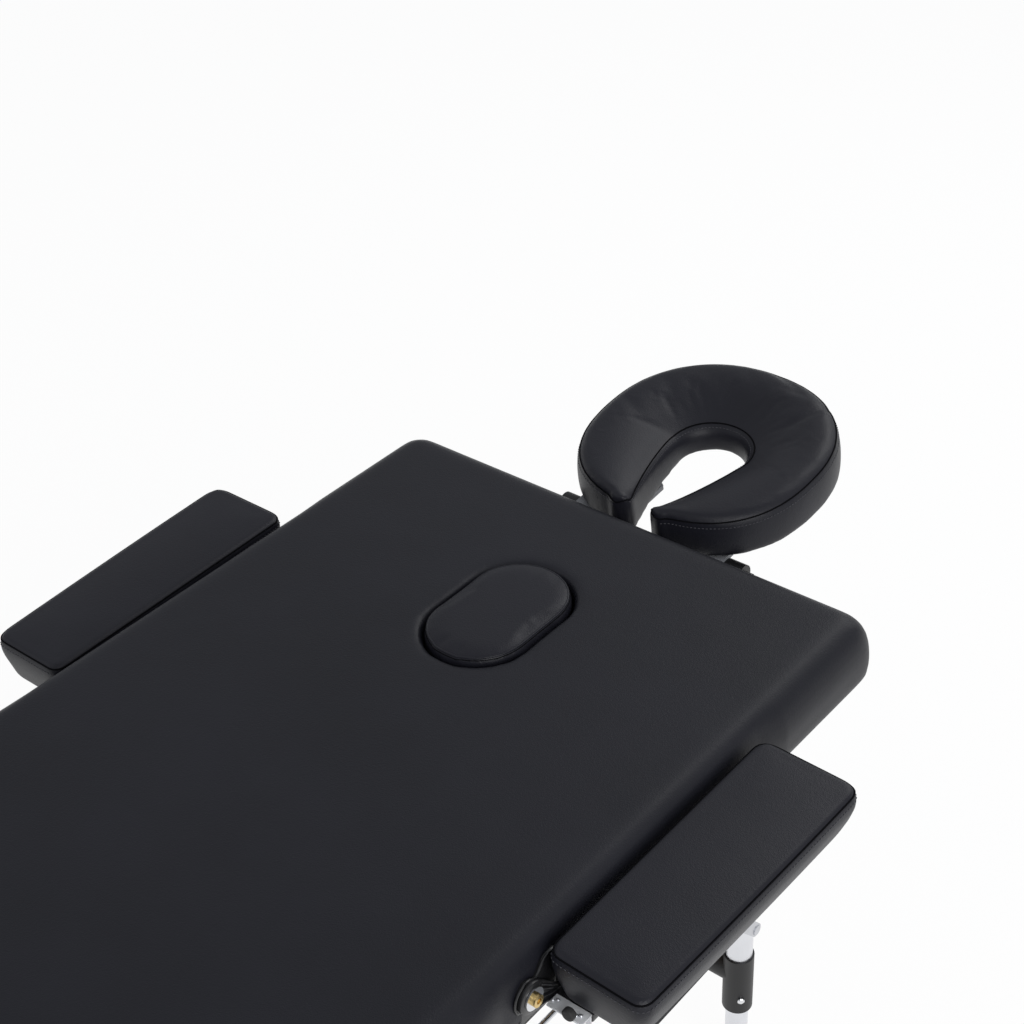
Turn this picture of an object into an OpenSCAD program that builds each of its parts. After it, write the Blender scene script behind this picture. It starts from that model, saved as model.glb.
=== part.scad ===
// A folding massage table: two padded halves on aluminium frames, hinged at the middle,
// with telescopic folding legs, two side armrests, a plugged face opening and a face cradle.
// X runs across the table, +Y towards the head end, +Z up, and the floor is at zero.

/* [Pads] */
// Height of the pads above the floor with the legs at their shortest
table_h = 610; // [590:5:640]
// Width of the pads
pad_w = 600; // [590:5:700]
// Length of one half of the table, from the fold line to its end
half_l = 930; // [920:5:980]
// Thickness of the cushion above its board
cushion_t = 66; // [50:2:80]
// Thickness of the plywood board
board_t = 9; // [6:1:15]
// Radius of the pads' corners seen from above
pad_corner_r = 24; // [20:2:60]
// Radius of the pads' rolled top edge
pad_roll = 25; // [12:1:30]
// Gap between the two cushions at the fold line
pad_gap = 3; // [2:0.5:6]
// Width of the face opening
face_w = 116; // [90:2:140]
// Length of the face opening
face_l = 176; // [150:2:220]
// Distance from the head end to the middle of the face opening
face_in = 215; // [190:5:280]

/* [Frame] */
// Depth of the aluminium rails below the boards
rail_h = 56; // [54:1:70]
// Thickness of the rails
rail_t = 10; // [8:0.5:10]
// Wall of the rails
rail_wall = 2.5; // [1.5:0.5:3]
// Distance of the side rails' outer face from the pads' edge
rail_in = 30; // [30:1:40]
// Number of hinges along the fold line
hinge_n = 3; // [2:1:4]
// Length of one hinge
hinge_l = 90; // [60:5:120]
// Thickness of a hinge leaf
leaf_t = 2.5; // [2:0.5:3]
// Radius of a hinge pin
pin_r = 2; // [1.5:0.25:2.5]
// Radius of a hinge knuckle
knuckle_r = 4.5; // [3.5:0.25:5]

/* [Legs] */
// Outer radius of the upper leg tubes
leg_r = 15; // [13:0.5:16]
// Wall of the upper leg tubes
leg_wall = 2; // [1.5:0.25:2.5]
// Distance of the leg pivots from the ends of the table
leg_in = 112; // [100:2:140]
// Distance of the leg pivots above the rails' lower edge
pivot_up = 26; // [22:1:30]
// Radius of the leg pivot bolts
bolt_r = 4; // [3:0.5:5]
// Height of the black sleeve's lower end above the floor
sleeve_up = 98; // [70:1:110]
// Length of the black sleeve
sleeve_l = 80; // [76:2:110]
// Wall of the black sleeve
sleeve_wall = 2; // [1.5:0.5:3]
// Radius of the cross tubes
cross_r = 12.5; // [10:0.5:13]
// Wall of the lower leg tubes
lower_wall = 1.6; // [1:0.2:2.5]
// Distance between two heights of the legs
hole_pitch = 25; // [20:1:30]
// Number of steps between the shortest and the longest leg
hole_n = 8; // [4:1:8]
// Radius of the rubber feet
foot_r = 18; // [16:0.5:20]
// Height of the rubber feet
foot_h = 25; // [20:1:35]
// Radius of a height button
button_r = 4; // [3:0.25:4.5]
// How far a height button stands out of its sleeve
button_out = 3; // [2:0.5:4]

/* [Folding stays] */
// Distance from the black sleeve up to the stay's bolt on the leg
stay_up = 49; // [30:1:60]
// Distance of the stay's frame pivot from the end of the table
stay_in = 370; // [350:5:400]
// Distance of the stay's frame pivot below the board
stay_drop = 13; // [11:1:16]
// Thickness of a stay bar
link_t = 3; // [2:0.5:4]
// Width of a stay bar
link_w = 16; // [12:1:18]

/* [Armrests] */
// Width of an armrest
arm_w = 108; // [90:2:140]
// Length of an armrest
arm_l = 322; // [280:2:360]
// Thickness of an armrest's cushion
arm_t = 49; // [40:1:60]
// Thickness of an armrest's board
arm_board_t = 8; // [6:1:12]
// Gap between pad and armrest
arm_gap = 9.3; // [8:0.5:14]
// Distance from the head end to the armrests' near end
arm_in = 210; // [180:5:260]
// How far the armrests' top lies below the pads' top
arm_drop = 8; // [0:1:15]
// Thickness of the moulded mount on the table's side
mount_t = 3.4; // [2.5:0.2:3.6]
// Radius of the round hub that the armrest swings on
hub_r = 16; // [13:0.5:18]

/* [Face cradle] */
// Width of the cradle cushion
cradle_w = 270; // [250:2:300]
// Length of the cradle cushion
cradle_l = 264; // [250:2:300]
// Height of the cradle cushion
cradle_h = 58; // [45:1:70]
// Width of the opening for the face
cradle_hole_w = 96; // [80:2:110]
// Gap between the pad's end and the cradle cushion when it is level
cradle_gap = 27; // [20:1:60]
// Tilt of the cradle at rest, in degrees
cradle_turn = 5.5; // [0:0.5:8]
// Radius of the cradle's two posts
post_r = 6; // [5:0.5:7]
// Distance of the posts from the middle of the table
post_x = 110; // [90:2:115]
// Depth of the posts inside the table
post_in = 150; // [140:5:160]

/* [Hidden] */
$fn = 48;

// How far a cut runs past the solid that it cuts
over = 1;
// Running clearance of pins, sliding clearance of tubes, and the gap kept by soft pieces
run_gap = 0.05;
slide_gap = 0.3;
soft_gap = 0.3;

// Heights, counted from the floor
board_top = table_h - cushion_t;
board_bottom = board_top - board_t;
rail_bottom = board_bottom - rail_h;
leaf_gap = 0.5;
hinge_z = rail_bottom - leaf_t - leaf_gap;
pivot_z = rail_bottom + pivot_up;
pivot_y = half_l - leg_in;
sleeve_s = pivot_z - sleeve_up - sleeve_l;
stay_s = sleeve_s - stay_up;

// Places across the table
pad_x = pad_w / 2;
rail_x = pad_x - rail_in;
rail_inner = rail_x - rail_t;
sleeve_r = leg_r + sleeve_wall;
link_gap = 0.4;
link_side = 1;
tab_t = 2.2;
head_bolt_t = 3;
lower_link_off = sleeve_r + link_side;
upper_link_off = lower_link_off + link_t + link_gap;
tab_off = upper_link_off + link_t + link_gap;
leg_x_head = rail_inner - link_side - tab_off - tab_t;
nest_gap = 1;
leg_x_tail = leg_x_head - foot_r - nest_gap - tab_off - tab_t - head_bolt_t;

// Rails keep this far in from the fold line and from the ends of the boards
fold_in = 6;
end_in = 6;
board_in = 3;

// Folding stays: the two bars lie in one line when the leg stands, and the upper one lies
// level under the board when the leg is folded, which gives their two lengths
stay_y = half_l - stay_in;
stay_z = board_bottom - stay_drop;
stand_y = pivot_y - stay_y;
stand_z = stay_z - pivot_z + stay_s;
stand_d = sqrt(stand_y * stand_y + stand_z * stand_z);
fold_dy = pivot_y - stay_s - stay_y;
fold_dz = stay_z - pivot_z;
upper_l = (stand_d * stand_d - fold_dy * fold_dy - fold_dz * fold_dz) / (2 * (stand_d + fold_dy));
knee_y = stay_y + stand_y * upper_l / stand_d;
knee_z = stay_z - stand_z * upper_l / stand_d;
rivet_r = 3;
rivet_head_r = 6;
rivet_head_t = 1;

// Sleeve, cross tube and height button along a leg
socket_side = 3.5;
socket_r = cross_r + socket_side;
socket_l = 24;
socket_deep = 20;
cross_down = 28;
cross_s = sleeve_s + cross_down;
sleeve_lip = 12;
tube_s = sleeve_s + sleeve_l - sleeve_lip;
button_s = tube_s - 2.5 * button_r;
lower_r = leg_r - leg_wall - slide_gap;
lower_grip = 60;
lower_top_s = button_s - hole_pitch * hole_n - lower_grip;
foot_wall = 8;

// Armrests
arm_x = pad_x + arm_gap;
arm_top = table_h - arm_drop;
arm_bottom = arm_top - arm_t - arm_board_t;
arm_y1 = half_l - arm_in;
arm_y0 = arm_y1 - arm_l;
arm_roll = 12;
arm_tuck = 28;
mount_l = 52;
mount_x = pad_x + 2 * soft_gap;
swing_x = mount_x + mount_t + 2 * slide_gap;
hub_t = arm_x - swing_x - slide_gap;
hub_y = arm_y0 - hub_r - 3 * slide_gap;
hub_z = arm_bottom + hub_r + 2 * slide_gap;
washer_r = 11;
washer_t = 1.5;
hex_r = 6;
hex_t = 4;
plate_t = 2;

// Face cradle
cradle_y0 = half_l + cradle_gap;
cradle_y1 = cradle_y0 + cradle_l;
cradle_rise = 12;
cradle_top = table_h + cradle_rise;
cradle_bottom = cradle_top - cradle_h;
plate_z = cradle_bottom - soft_gap;
cradle_plate_t = 6;
upright_w = 22;
upright_out = 36;
upright_y = half_l + upright_out + upright_w / 2;
post_z = board_bottom - rail_h / 2;
axle_r = 4;
axle_z = plate_z - cradle_plate_t - 2.5 * axle_r;
cradle_mid_y = (cradle_y0 + cradle_y1) / 2;

// Sections of the cradle cushion, from the inner foot over the top to the outer foot: shares of
// its half width and of its height, at the back, where the top dips to the opening, and at the tips
back_share = [
    [-0.90, 0.00], [-0.98, 0.07], [-1.00, 0.30], [-0.95, 0.50], [-0.80, 0.60], [-0.40, 0.74], [0.10, 0.90],
    [0.50, 0.99], [0.82, 0.96], [0.97, 0.80], [1.00, 0.40], [0.98, 0.07], [0.90, 0.00], [0.00, 0.00]
];
end_share = [
    [-0.90, 0.00], [-0.98, 0.07], [-1.00, 0.40], [-0.96, 0.80], [-0.80, 0.93], [-0.40, 0.99], [0.10, 1.00],
    [0.60, 0.99], [0.86, 0.93], [0.98, 0.74], [1.00, 0.40], [0.98, 0.07], [0.90, 0.00], [0.00, 0.00]
];
hole_rx = cradle_hole_w / 2;
cradle_rx = cradle_w / 2;
cradle_ry = cradle_l / 2;

// The tilted cushion makes the whole object longer at the head end, so the fold line lies off
// its middle
function back_reach(p) =
    let (y = cradle_mid_y + (cradle_ry + hole_rx + p[0] * (cradle_ry - hole_rx)) / 2 - upright_y)
    let (z = cradle_bottom + p[1] * cradle_h - axle_z)
    y * cos(cradle_turn) - z * sin(cradle_turn);
reach = upright_y - half_l + max([for (p = back_share) back_reach(p)]);
fold_y = -reach / 2;

// Shapes used by more than one piece

// Puts the fold line where it lies in the whole object
module placed() {
    translate([0, fold_y, 0]) children();
}

// A piece drawn for the head half, mirrored to the tail half
module at_end(head) {
    if (head) children();
    else mirror([0, 1, 0]) children();
}

// A piece drawn for the right side, mirrored to the left
module at_side(right) {
    if (right) children();
    else mirror([1, 0, 0]) children();
}

module both_sides() {
    children();
    mirror([1, 0, 0]) children();
}

// Turns an outline drawn in Y and Z into a plate that starts at x and is t thick
module plate_yz(x, t) {
    translate([x, 0, 0]) rotate([90, 0, 90]) linear_extrude(height = t) children();
}

module rod_x(r, x0, x1, y, z) {
    translate([x0, y, z]) rotate([0, 90, 0]) cylinder(r = r, h = x1 - x0);
}

module rod_y(r, y0, y1, x, z) {
    translate([x, y0, z]) rotate([-90, 0, 0]) cylinder(r = r, h = y1 - y0);
}

// A flat bar of thickness t from x on, with round ends about the pivots p and q in Y and Z
module bar_yz(x, t, p, q, w) {
    span = norm(q - p);
    translate([0, p[0], p[1]]) rotate([atan2(q[1] - p[1], q[0] - p[0]), 0, 0]) plate_yz(x, t) {
        circle(d = w);
        translate([span, 0]) circle(d = w);
        translate([0, -w / 2]) square([span, w]);
    }
}

module round_rect_2d(w, l, r) {
    square([w - 2 * r, l], center = true);
    square([w, l - 2 * r], center = true);
    for (x = [-1, 1]) {
        for (y = [-1, 1]) translate([x * (w / 2 - r), y * (l / 2 - r)]) circle(r = r);
    }
}

module stadium_2d(w, l) {
    square([w, l - w], center = true);
    for (y = [-1, 1]) translate([0, y * (l - w) / 2]) circle(d = w);
}

// Stacked rings make a soft form: a rounded rectangle whose sides draw in between its corners
corner_n = 5;
side_n = 3;
function quarter(q, k, hw, hl, r) =
    let (a = 90 * q + 90 * k / corner_n)
    let (sx = (q == 0 || q == 3) ? 1 : -1)
    let (sy = q < 2 ? 1 : -1)
    [sx * (hw - r) + r * cos(a), sy * (hl - r) + r * sin(a)];
function ring_2d(hw, hl, r) = [
    for (q = [0 : 3])
        for (k = [0 : corner_n + side_n])
            let (a = quarter(q, min(k, corner_n), hw, hl, r))
            let (b = quarter((q + 1) % 4, 0, hw, hl, r))
            let (t = max(0, k - corner_n) / (side_n + 1))
            a + (b - a) * t
];
function drawn(p, hw, hl, r, pull) =
    let (u = min(1, abs(p[0]) / (hw - r)))
    let (v = min(1, abs(p[1]) / (hl - r)))
    [p[0] - pull * p[0] / hw * (1 - v * v), p[1] - pull * p[1] / hl * (1 - u * u)];
function soft_ring(w, l, r, inset, z, pull) =
    let (hw = w / 2 - inset)
    let (hl = l / 2 - inset)
    let (rc = max(r - inset, r / 6))
    [for (p = ring_2d(hw, hl, rc)) let (d = drawn(p, hw, hl, rc, pull)) [d[0], d[1], z]];
function total(ring, i) = i < 0 ? [0, 0, 0] : ring[i] + total(ring, i - 1);
function middle(ring) = total(ring, len(ring) - 1) / len(ring);
function join_rings(rings) = concat(
    [for (ring = rings) each ring],
    [middle(rings[0]), middle(rings[len(rings) - 1])]
);
// Faces of m rings of n points each, closed by a fan of triangles at both ends
function skin(m, n) = concat(
    [for (i = [0 : n - 1]) [i, (i + 1) % n, m * n]],
    [for (j = [0 : m - 2]) for (i = [0 : n - 1]) [j * n + i, (j + 1) * n + i, (j + 1) * n + (i + 1) % n]],
    [for (j = [0 : m - 2]) for (i = [0 : n - 1]) [j * n + i, (j + 1) * n + (i + 1) % n, j * n + (i + 1) % n]],
    [for (i = [0 : n - 1]) [(m - 1) * n + (i + 1) % n, (m - 1) * n + i, m * n + 1]]
);

// Soft slab: tucked under at the foot, upright sides drawn in, rolled top edge, low crown.
// The crown rises over rings that lie further and further in
module soft_slab(w, l, h, r, roll, tuck, crown, pull) {
    steps = 4;
    reach_in = min(w, l) / 2 - roll;
    crown_share = [0.35, 0.6, 0.8];
    foot = [for (k = [0 : steps - 1]) let (a = 90 * k / steps)
        soft_ring(w, l, r, tuck * (1 - sin(a)), tuck * (1 - cos(a)), pull * k / steps)];
    head = [for (k = [0 : steps]) let (a = 90 * k / steps)
        soft_ring(w, l, r, roll * (1 - cos(a)), h - crown - roll * (1 - sin(a)), pull * (1 - k / steps / 2))];
    top = [for (s = crown_share)
        soft_ring(w, l, r, roll + reach_in * s * 0.9, h - crown * (1 - s) * (1 - s), 0)];
    last = [soft_ring(w, l, r, roll + reach_in * 0.9, h, 0)];
    rings = concat(foot, head, top, last);
    polyhedron(points = join_rings(rings), faces = skin(len(rings), len(rings[0])), convexity = 6);
}

// Boards and cushions
pad_l = half_l - pad_gap / 2;
pad_mid = pad_gap / 2 + pad_l / 2;
pad_crown = 2;
pad_tuck = 8;
pad_pull = 1.5;

module face_opening_2d(grow) {
    translate([0, half_l - face_in]) stadium_2d(face_w + 2 * grow, face_l + 2 * grow);
}

module board(head) {
    placed() at_end(head) color("tan") translate([0, 0, board_bottom]) linear_extrude(height = board_t)
        difference() {
            translate([0, pad_mid]) round_rect_2d(pad_w - 2 * board_in, pad_l - 2 * board_in, pad_corner_r);
            if (head) face_opening_2d(0);
        }
}

module cushion(head) {
    placed() at_end(head) color([0.16, 0.16, 0.18]) difference() {
        translate([0, pad_mid, board_top])
            soft_slab(pad_w, pad_l, cushion_t, pad_corner_r, pad_roll, pad_tuck, pad_crown, pad_pull);
        if (head) translate([0, 0, board_top - over]) linear_extrude(height = cushion_t + 2 * over)
            face_opening_2d(0);
    }
}

module head_board() { board(true); }
module tail_board() { board(false); }
module head_cushion() { cushion(true); }
module tail_cushion() { cushion(false); }

// The plug fills the face opening and lifts out, and its foot sits snugly in the board
plug_fit = 3;
plug_h = board_t + cushion_t - pad_roll / 5;
module face_plug() {
    placed() color([0.16, 0.16, 0.18]) translate([0, half_l - face_in, board_bottom]) {
        linear_extrude(height = plug_h) stadium_2d(face_w - 2 * plug_fit, face_l - 2 * plug_fit);
        translate([0, 0, plug_h]) linear_extrude(height = pad_crown)
            stadium_2d(face_w - 4 * plug_fit, face_l - 4 * plug_fit);
        linear_extrude(height = board_t) stadium_2d(face_w - 2 * slide_gap, face_l - 2 * slide_gap);
    }
}

// Frames: channel rails that open inwards
module side_rail() {
    rail_l = half_l - fold_in - end_in;
    translate([rail_inner, fold_in, rail_bottom]) difference() {
        cube([rail_t, rail_l, rail_h]);
        translate([-over, -over, rail_wall])
            cube([rail_t - rail_wall + over, rail_l + 2 * over, rail_h - 2 * rail_wall]);
    }
}

module end_rail(y) {
    translate([-rail_inner, y, rail_bottom]) difference() {
        cube([2 * rail_inner, rail_t, rail_h]);
        translate([-over, y > half_l / 2 ? -over : rail_wall, rail_wall])
            cube([2 * rail_inner + 2 * over, rail_t - rail_wall + over, rail_h - 2 * rail_wall]);
    }
}

end_rail_y = half_l - end_in - rail_t;
module end_rails(head) {
    placed() at_end(head) color([0.78, 0.79, 0.8]) {
        end_rail(fold_in);
        difference() {
            end_rail(end_rail_y);
            if (head) both_sides()
                rod_y(post_r + slide_gap, end_rail_y - over, end_rail_y + rail_t + over, post_x, post_z);
        }
    }
}

module head_side_rails() { placed() color([0.78, 0.79, 0.8]) both_sides() side_rail(); }
module tail_side_rails() { placed() at_end(false) color([0.78, 0.79, 0.8]) both_sides() side_rail(); }
module head_end_rails() { end_rails(true); }
module tail_end_rails() { end_rails(false); }

// Brackets under a board: a saddle with two cheeks for each leg pivot, and a tab for each stay
cheek_t = 3;
cheek_gap = 0.5;
saddle_l = 40;
saddle_w = 2 * (leg_r + cheek_gap + cheek_t);
saddle_top_t = 2.5;
module leg_saddle(x) {
    difference() {
        translate([x - saddle_w / 2, pivot_y - saddle_l / 2, pivot_z - link_w / 2])
            cube([saddle_w, saddle_l, board_bottom - pivot_z + link_w / 2]);
        translate([x - leg_r - cheek_gap, pivot_y - saddle_l / 2 - over, pivot_z - link_w / 2 - over])
            cube([2 * (leg_r + cheek_gap), saddle_l + 2 * over,
                board_bottom - saddle_top_t - pivot_z + link_w / 2 + over]);
        rod_x(bolt_r, x - saddle_w / 2 - over, x + saddle_w / 2 + over, pivot_y, pivot_z);
    }
}

tab_w = 22;
tab_top_t = 2;
module stay_tab(x) {
    difference() {
        union() {
            plate_yz(x + tab_off, tab_t) {
                translate([stay_y, stay_z]) circle(d = tab_w);
                translate([stay_y - tab_w / 2, stay_z]) square([tab_w, board_bottom - stay_z]);
            }
            translate([x, stay_y - tab_w, board_bottom - tab_top_t])
                cube([tab_off + tab_t, 2 * tab_w, tab_top_t]);
        }
        rod_x(bolt_r, x + tab_off - over, x + tab_off + tab_t + over, stay_y, stay_z);
    }
}

module brackets(head) {
    x = head ? leg_x_head : leg_x_tail;
    placed() at_end(head) color([0.74, 0.75, 0.77]) both_sides() {
        leg_saddle(x);
        stay_tab(x);
    }
}
module head_brackets() { brackets(true); }
module tail_brackets() { brackets(false); }

module hex_head(x, t, y, z, r) {
    translate([x, y, z]) rotate([0, 90, 0]) cylinder(r = r, h = t, $fn = 6);
}

module pivot_bolts(head) {
    x = head ? leg_x_head : leg_x_tail;
    placed() at_end(head) color([0.7, 0.71, 0.72]) both_sides() {
        union() {
            rod_x(bolt_r, x - saddle_w / 2, x + saddle_w / 2, pivot_y, pivot_z);
            hex_head(x + saddle_w / 2, head_bolt_t, pivot_y, pivot_z, 1.6 * bolt_r);
            hex_head(x - saddle_w / 2 - head_bolt_t, head_bolt_t, pivot_y, pivot_z, 1.6 * bolt_r);
        }
        union() {
            rod_x(bolt_r, x + upper_link_off, x + tab_off + tab_t, stay_y, stay_z);
            rod_x(1.6 * bolt_r, x + tab_off + tab_t, x + tab_off + tab_t + head_bolt_t, stay_y, stay_z);
            rod_x(1.3 * bolt_r, x + upper_link_off - link_gap, x + upper_link_off, stay_y, stay_z);
        }
    }
}
module head_pivot_bolts() { pivot_bolts(true); }
module tail_pivot_bolts() { pivot_bolts(false); }

// Hinges along the fold line: leaves under the end rails, five knuckles on each pin
knuckles = 5;
knuckle_gap = 0.4;
hinge_pitch = 2 * rail_inner / hinge_n;
module hinge_leaf(head) {
    step = hinge_l / knuckles;
    side = knuckle_gap / 2;
    difference() {
        union() {
            for (k = [0 : knuckles - 1]) {
                mine = (k % 2 == 0) == head;
                from = mine ? 0 : knuckle_r + knuckle_gap;
                translate([k * step, from, rail_bottom - leaf_t])
                    cube([step, fold_in + rail_t - from, leaf_t]);
                if (mine) rod_x(knuckle_r, k * step + side, (k + 1) * step - side, 0, hinge_z);
            }
        }
        for (k = [0 : knuckles - 1]) {
            if ((k % 2 == 0) != head)
                rod_x(knuckle_r + knuckle_gap, k * step - side, (k + 1) * step + side, 0, hinge_z);
        }
        rod_x(head ? pin_r : pin_r + run_gap, -over, hinge_l + over, 0, hinge_z);
    }
}

module hinge_row() {
    for (i = [0 : hinge_n - 1])
        translate([(i - (hinge_n - 1) / 2) * hinge_pitch - hinge_l / 2, 0, 0]) children();
}
module head_hinge_leaves() { placed() color([0.72, 0.73, 0.74]) hinge_row() hinge_leaf(true); }
module tail_hinge_leaves() { placed() at_end(false) color([0.72, 0.73, 0.74]) hinge_row() hinge_leaf(false); }
module hinge_pins() { placed() color([0.6, 0.6, 0.62]) hinge_row() rod_x(pin_r, 0, hinge_l, 0, hinge_z); }

// Thin steel rods under the sides, each held by two clips that hang from the board
truss_r = 2.75;
truss_in = 9;
truss_drop = 47;
truss_fold_in = 60;
truss_past = 43;
truss_x = pad_x - truss_in;
truss_z = board_bottom - truss_drop;
truss_y0 = truss_fold_in;
truss_y1 = hub_y - hub_r + mount_l + truss_past;
clip_w = 9;
clip_l = 14;
clip_end = 6;
module truss_rods(head) {
    placed() at_end(head) color([0.8, 0.81, 0.83]) both_sides() {
        rod_y(truss_r, truss_y0, truss_y1, truss_x, truss_z);
        for (y = [truss_y0 + clip_end, truss_y1 - clip_end - clip_l]) difference() {
            translate([truss_x - clip_w / 2, y, truss_z - clip_w / 2])
                cube([clip_w, clip_l, board_bottom - truss_z + clip_w / 2]);
            rod_y(truss_r + run_gap, y - over, y + clip_l + over, truss_x, truss_z);
        }
    }
}
module head_truss_rods() { truss_rods(true); }
module tail_truss_rods() { truss_rods(false); }

// Sockets that hold the cradle's posts behind the head end rail
socket_block_l = 60;
socket_wall = 4;
module post_sockets() {
    block_w = 2 * (post_r + socket_wall);
    placed() color([0.12, 0.12, 0.13]) both_sides() difference() {
        translate([post_x - block_w / 2, end_rail_y - socket_block_l, post_z - block_w / 2])
            cube([block_w, socket_block_l, board_bottom - post_z + block_w / 2]);
        rod_y(post_r + slide_gap, end_rail_y - socket_block_l - over, end_rail_y + over, post_x, post_z);
    }
}

// Legs: an upper tube on its pivot, a black sleeve with a socket for the cross tube
function leg_x(head) = head ? leg_x_head : leg_x_tail;
function at_s(s) = pivot_z - s;
button_turn = -45;

module button_hole(r, from, to) {
    rotate([0, 0, button_turn]) translate([from, 0, 0]) rotate([0, 90, 0]) cylinder(r = r, h = to - from);
}

tube_over = 16;
module leg_tubes(head) {
    x = leg_x(head);
    placed() at_end(head) color([0.8, 0.81, 0.83]) both_sides() difference() {
        translate([x, pivot_y, at_s(tube_s)]) cylinder(r = leg_r, h = tube_s + tube_over);
        translate([x, pivot_y, at_s(tube_s) - over])
            cylinder(r = leg_r - leg_wall, h = tube_s + tube_over + 2 * over);
        rod_x(bolt_r + run_gap, x - leg_r - over, x + leg_r + over, pivot_y, pivot_z);
        translate([x, pivot_y, at_s(button_s)]) button_hole(button_r + slide_gap, 0, leg_r + over);
    }
}
module head_leg_tubes() { leg_tubes(true); }
module tail_leg_tubes() { leg_tubes(false); }

module t_joints(head) {
    x = leg_x(head);
    mouth = x - leg_r - socket_l;
    placed() at_end(head) color([0.1, 0.1, 0.11]) both_sides() difference() {
        union() {
            translate([x, pivot_y, at_s(sleeve_s + sleeve_l)]) cylinder(r = sleeve_r, h = sleeve_l);
            rod_x(socket_r, mouth, x, pivot_y, at_s(cross_s));
        }
        translate([x, pivot_y, at_s(tube_s)]) cylinder(r = leg_r, h = tube_s);
        translate([x, pivot_y, at_s(sleeve_s + sleeve_l) - over])
            cylinder(r = lower_r + slide_gap, h = sleeve_l);
        rod_x(cross_r, mouth - over, mouth + socket_deep, pivot_y, at_s(cross_s));
        translate([x, pivot_y, at_s(button_s)]) button_hole(button_r + slide_gap, 0, sleeve_r + over);
    }
}
module head_t_joints() { t_joints(true); }
module tail_t_joints() { t_joints(false); }

module cross_tube(head) {
    half = leg_x(head) - leg_r - socket_l + socket_deep;
    placed() at_end(head) color([0.8, 0.81, 0.83]) difference() {
        rod_x(cross_r, -half, half, pivot_y, at_s(cross_s));
        rod_x(cross_r - lower_wall, -half - over, half + over, pivot_y, at_s(cross_s));
    }
}
module head_cross_tube() { cross_tube(true); }
module tail_cross_tube() { cross_tube(false); }

// Lower legs slide in the upper tubes: a row of holes takes the height button
module lower_leg(head, right) {
    bottom = foot_wall;
    placed() at_end(head) at_side(right) color([0.83, 0.84, 0.86]) translate([leg_x(head), pivot_y, 0])
        difference() {
            translate([0, 0, bottom]) cylinder(r = lower_r, h = at_s(lower_top_s) - bottom);
            translate([0, 0, bottom - over])
                cylinder(r = lower_r - lower_wall, h = at_s(lower_top_s) - bottom + 2 * over);
            for (k = [0 : hole_n])
                translate([0, 0, at_s(button_s - k * hole_pitch)]) button_hole(1.2 * button_r, 0, leg_r);
        }
}
module lower_leg_head_right() { lower_leg(true, true); }
module lower_leg_head_left() { lower_leg(true, false); }
module lower_leg_tail_right() { lower_leg(false, true); }
module lower_leg_tail_left() { lower_leg(false, false); }

foot_ring = 3;
module foot(head, right) {
    placed() at_end(head) at_side(right) color([0.08, 0.08, 0.08]) translate([leg_x(head), pivot_y, 0])
        rotate_extrude() difference() {
            polygon([
                [0, 0], [foot_r - foot_ring, 0], [foot_r, foot_ring], [foot_r, foot_h / 2],
                [lower_r + foot_ring, foot_h - foot_ring], [lower_r + foot_ring, foot_h], [0, foot_h]
            ]);
            translate([0, foot_wall]) square([lower_r, foot_h]);
        }
}
module foot_head_right() { foot(true, true); }
module foot_head_left() { foot(true, false); }
module foot_tail_right() { foot(false, true); }
module foot_tail_left() { foot(false, false); }

module button(head, right) {
    inner = lower_r + slide_gap;
    outer = sleeve_r + button_out;
    placed() at_end(head) at_side(right) color([0.82, 0.83, 0.85])
        translate([leg_x(head), pivot_y, at_s(button_s)]) {
            button_hole(button_r, inner, outer - button_r / 4);
            rotate([0, 0, button_turn]) translate([outer - button_r / 4, 0, 0]) rotate([0, 90, 0])
                cylinder(r1 = button_r, r2 = button_r * 0.7, h = button_r / 4);
        }
}
module button_head_right() { button(true, true); }
module button_head_left() { button(true, false); }
module button_tail_right() { button(false, true); }
module button_tail_left() { button(false, false); }

// Folding stays: upper bars turn on the board's tabs, lower bars carry the bolts to the legs
module upper_stays(head) {
    x = leg_x(head) + upper_link_off;
    placed() at_end(head) color([0.75, 0.76, 0.78]) both_sides() {
        difference() {
            bar_yz(x, link_t, [stay_y, stay_z], [knee_y, knee_z], link_w);
            rod_x(bolt_r + run_gap, x - over, x + link_t + over, stay_y, stay_z);
        }
        rod_x(rivet_r, x - link_gap - link_t, x + link_t, knee_y, knee_z);
        rod_x(rivet_head_r, x - link_gap - link_t - rivet_head_t, x - link_gap - link_t, knee_y, knee_z);
    }
}

bolt_short = 0.4;
module lower_stays(head) {
    x = leg_x(head) + lower_link_off;
    end_z = at_s(stay_s);
    placed() at_end(head) color([0.75, 0.76, 0.78]) both_sides() {
        difference() {
            bar_yz(x, link_t, [knee_y, knee_z], [pivot_y, end_z], link_w);
            rod_x(rivet_r + run_gap, x - over, x + link_t + over, knee_y, knee_z);
        }
        rod_x(rivet_head_r, leg_x(head) + sleeve_r + bolt_short, x + link_t + rivet_head_t, pivot_y, end_z);
    }
}
module head_upper_stays() { upper_stays(true); }
module head_lower_stays() { lower_stays(true); }
module tail_upper_stays() { upper_stays(false); }
module tail_lower_stays() { lower_stays(false); }

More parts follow.
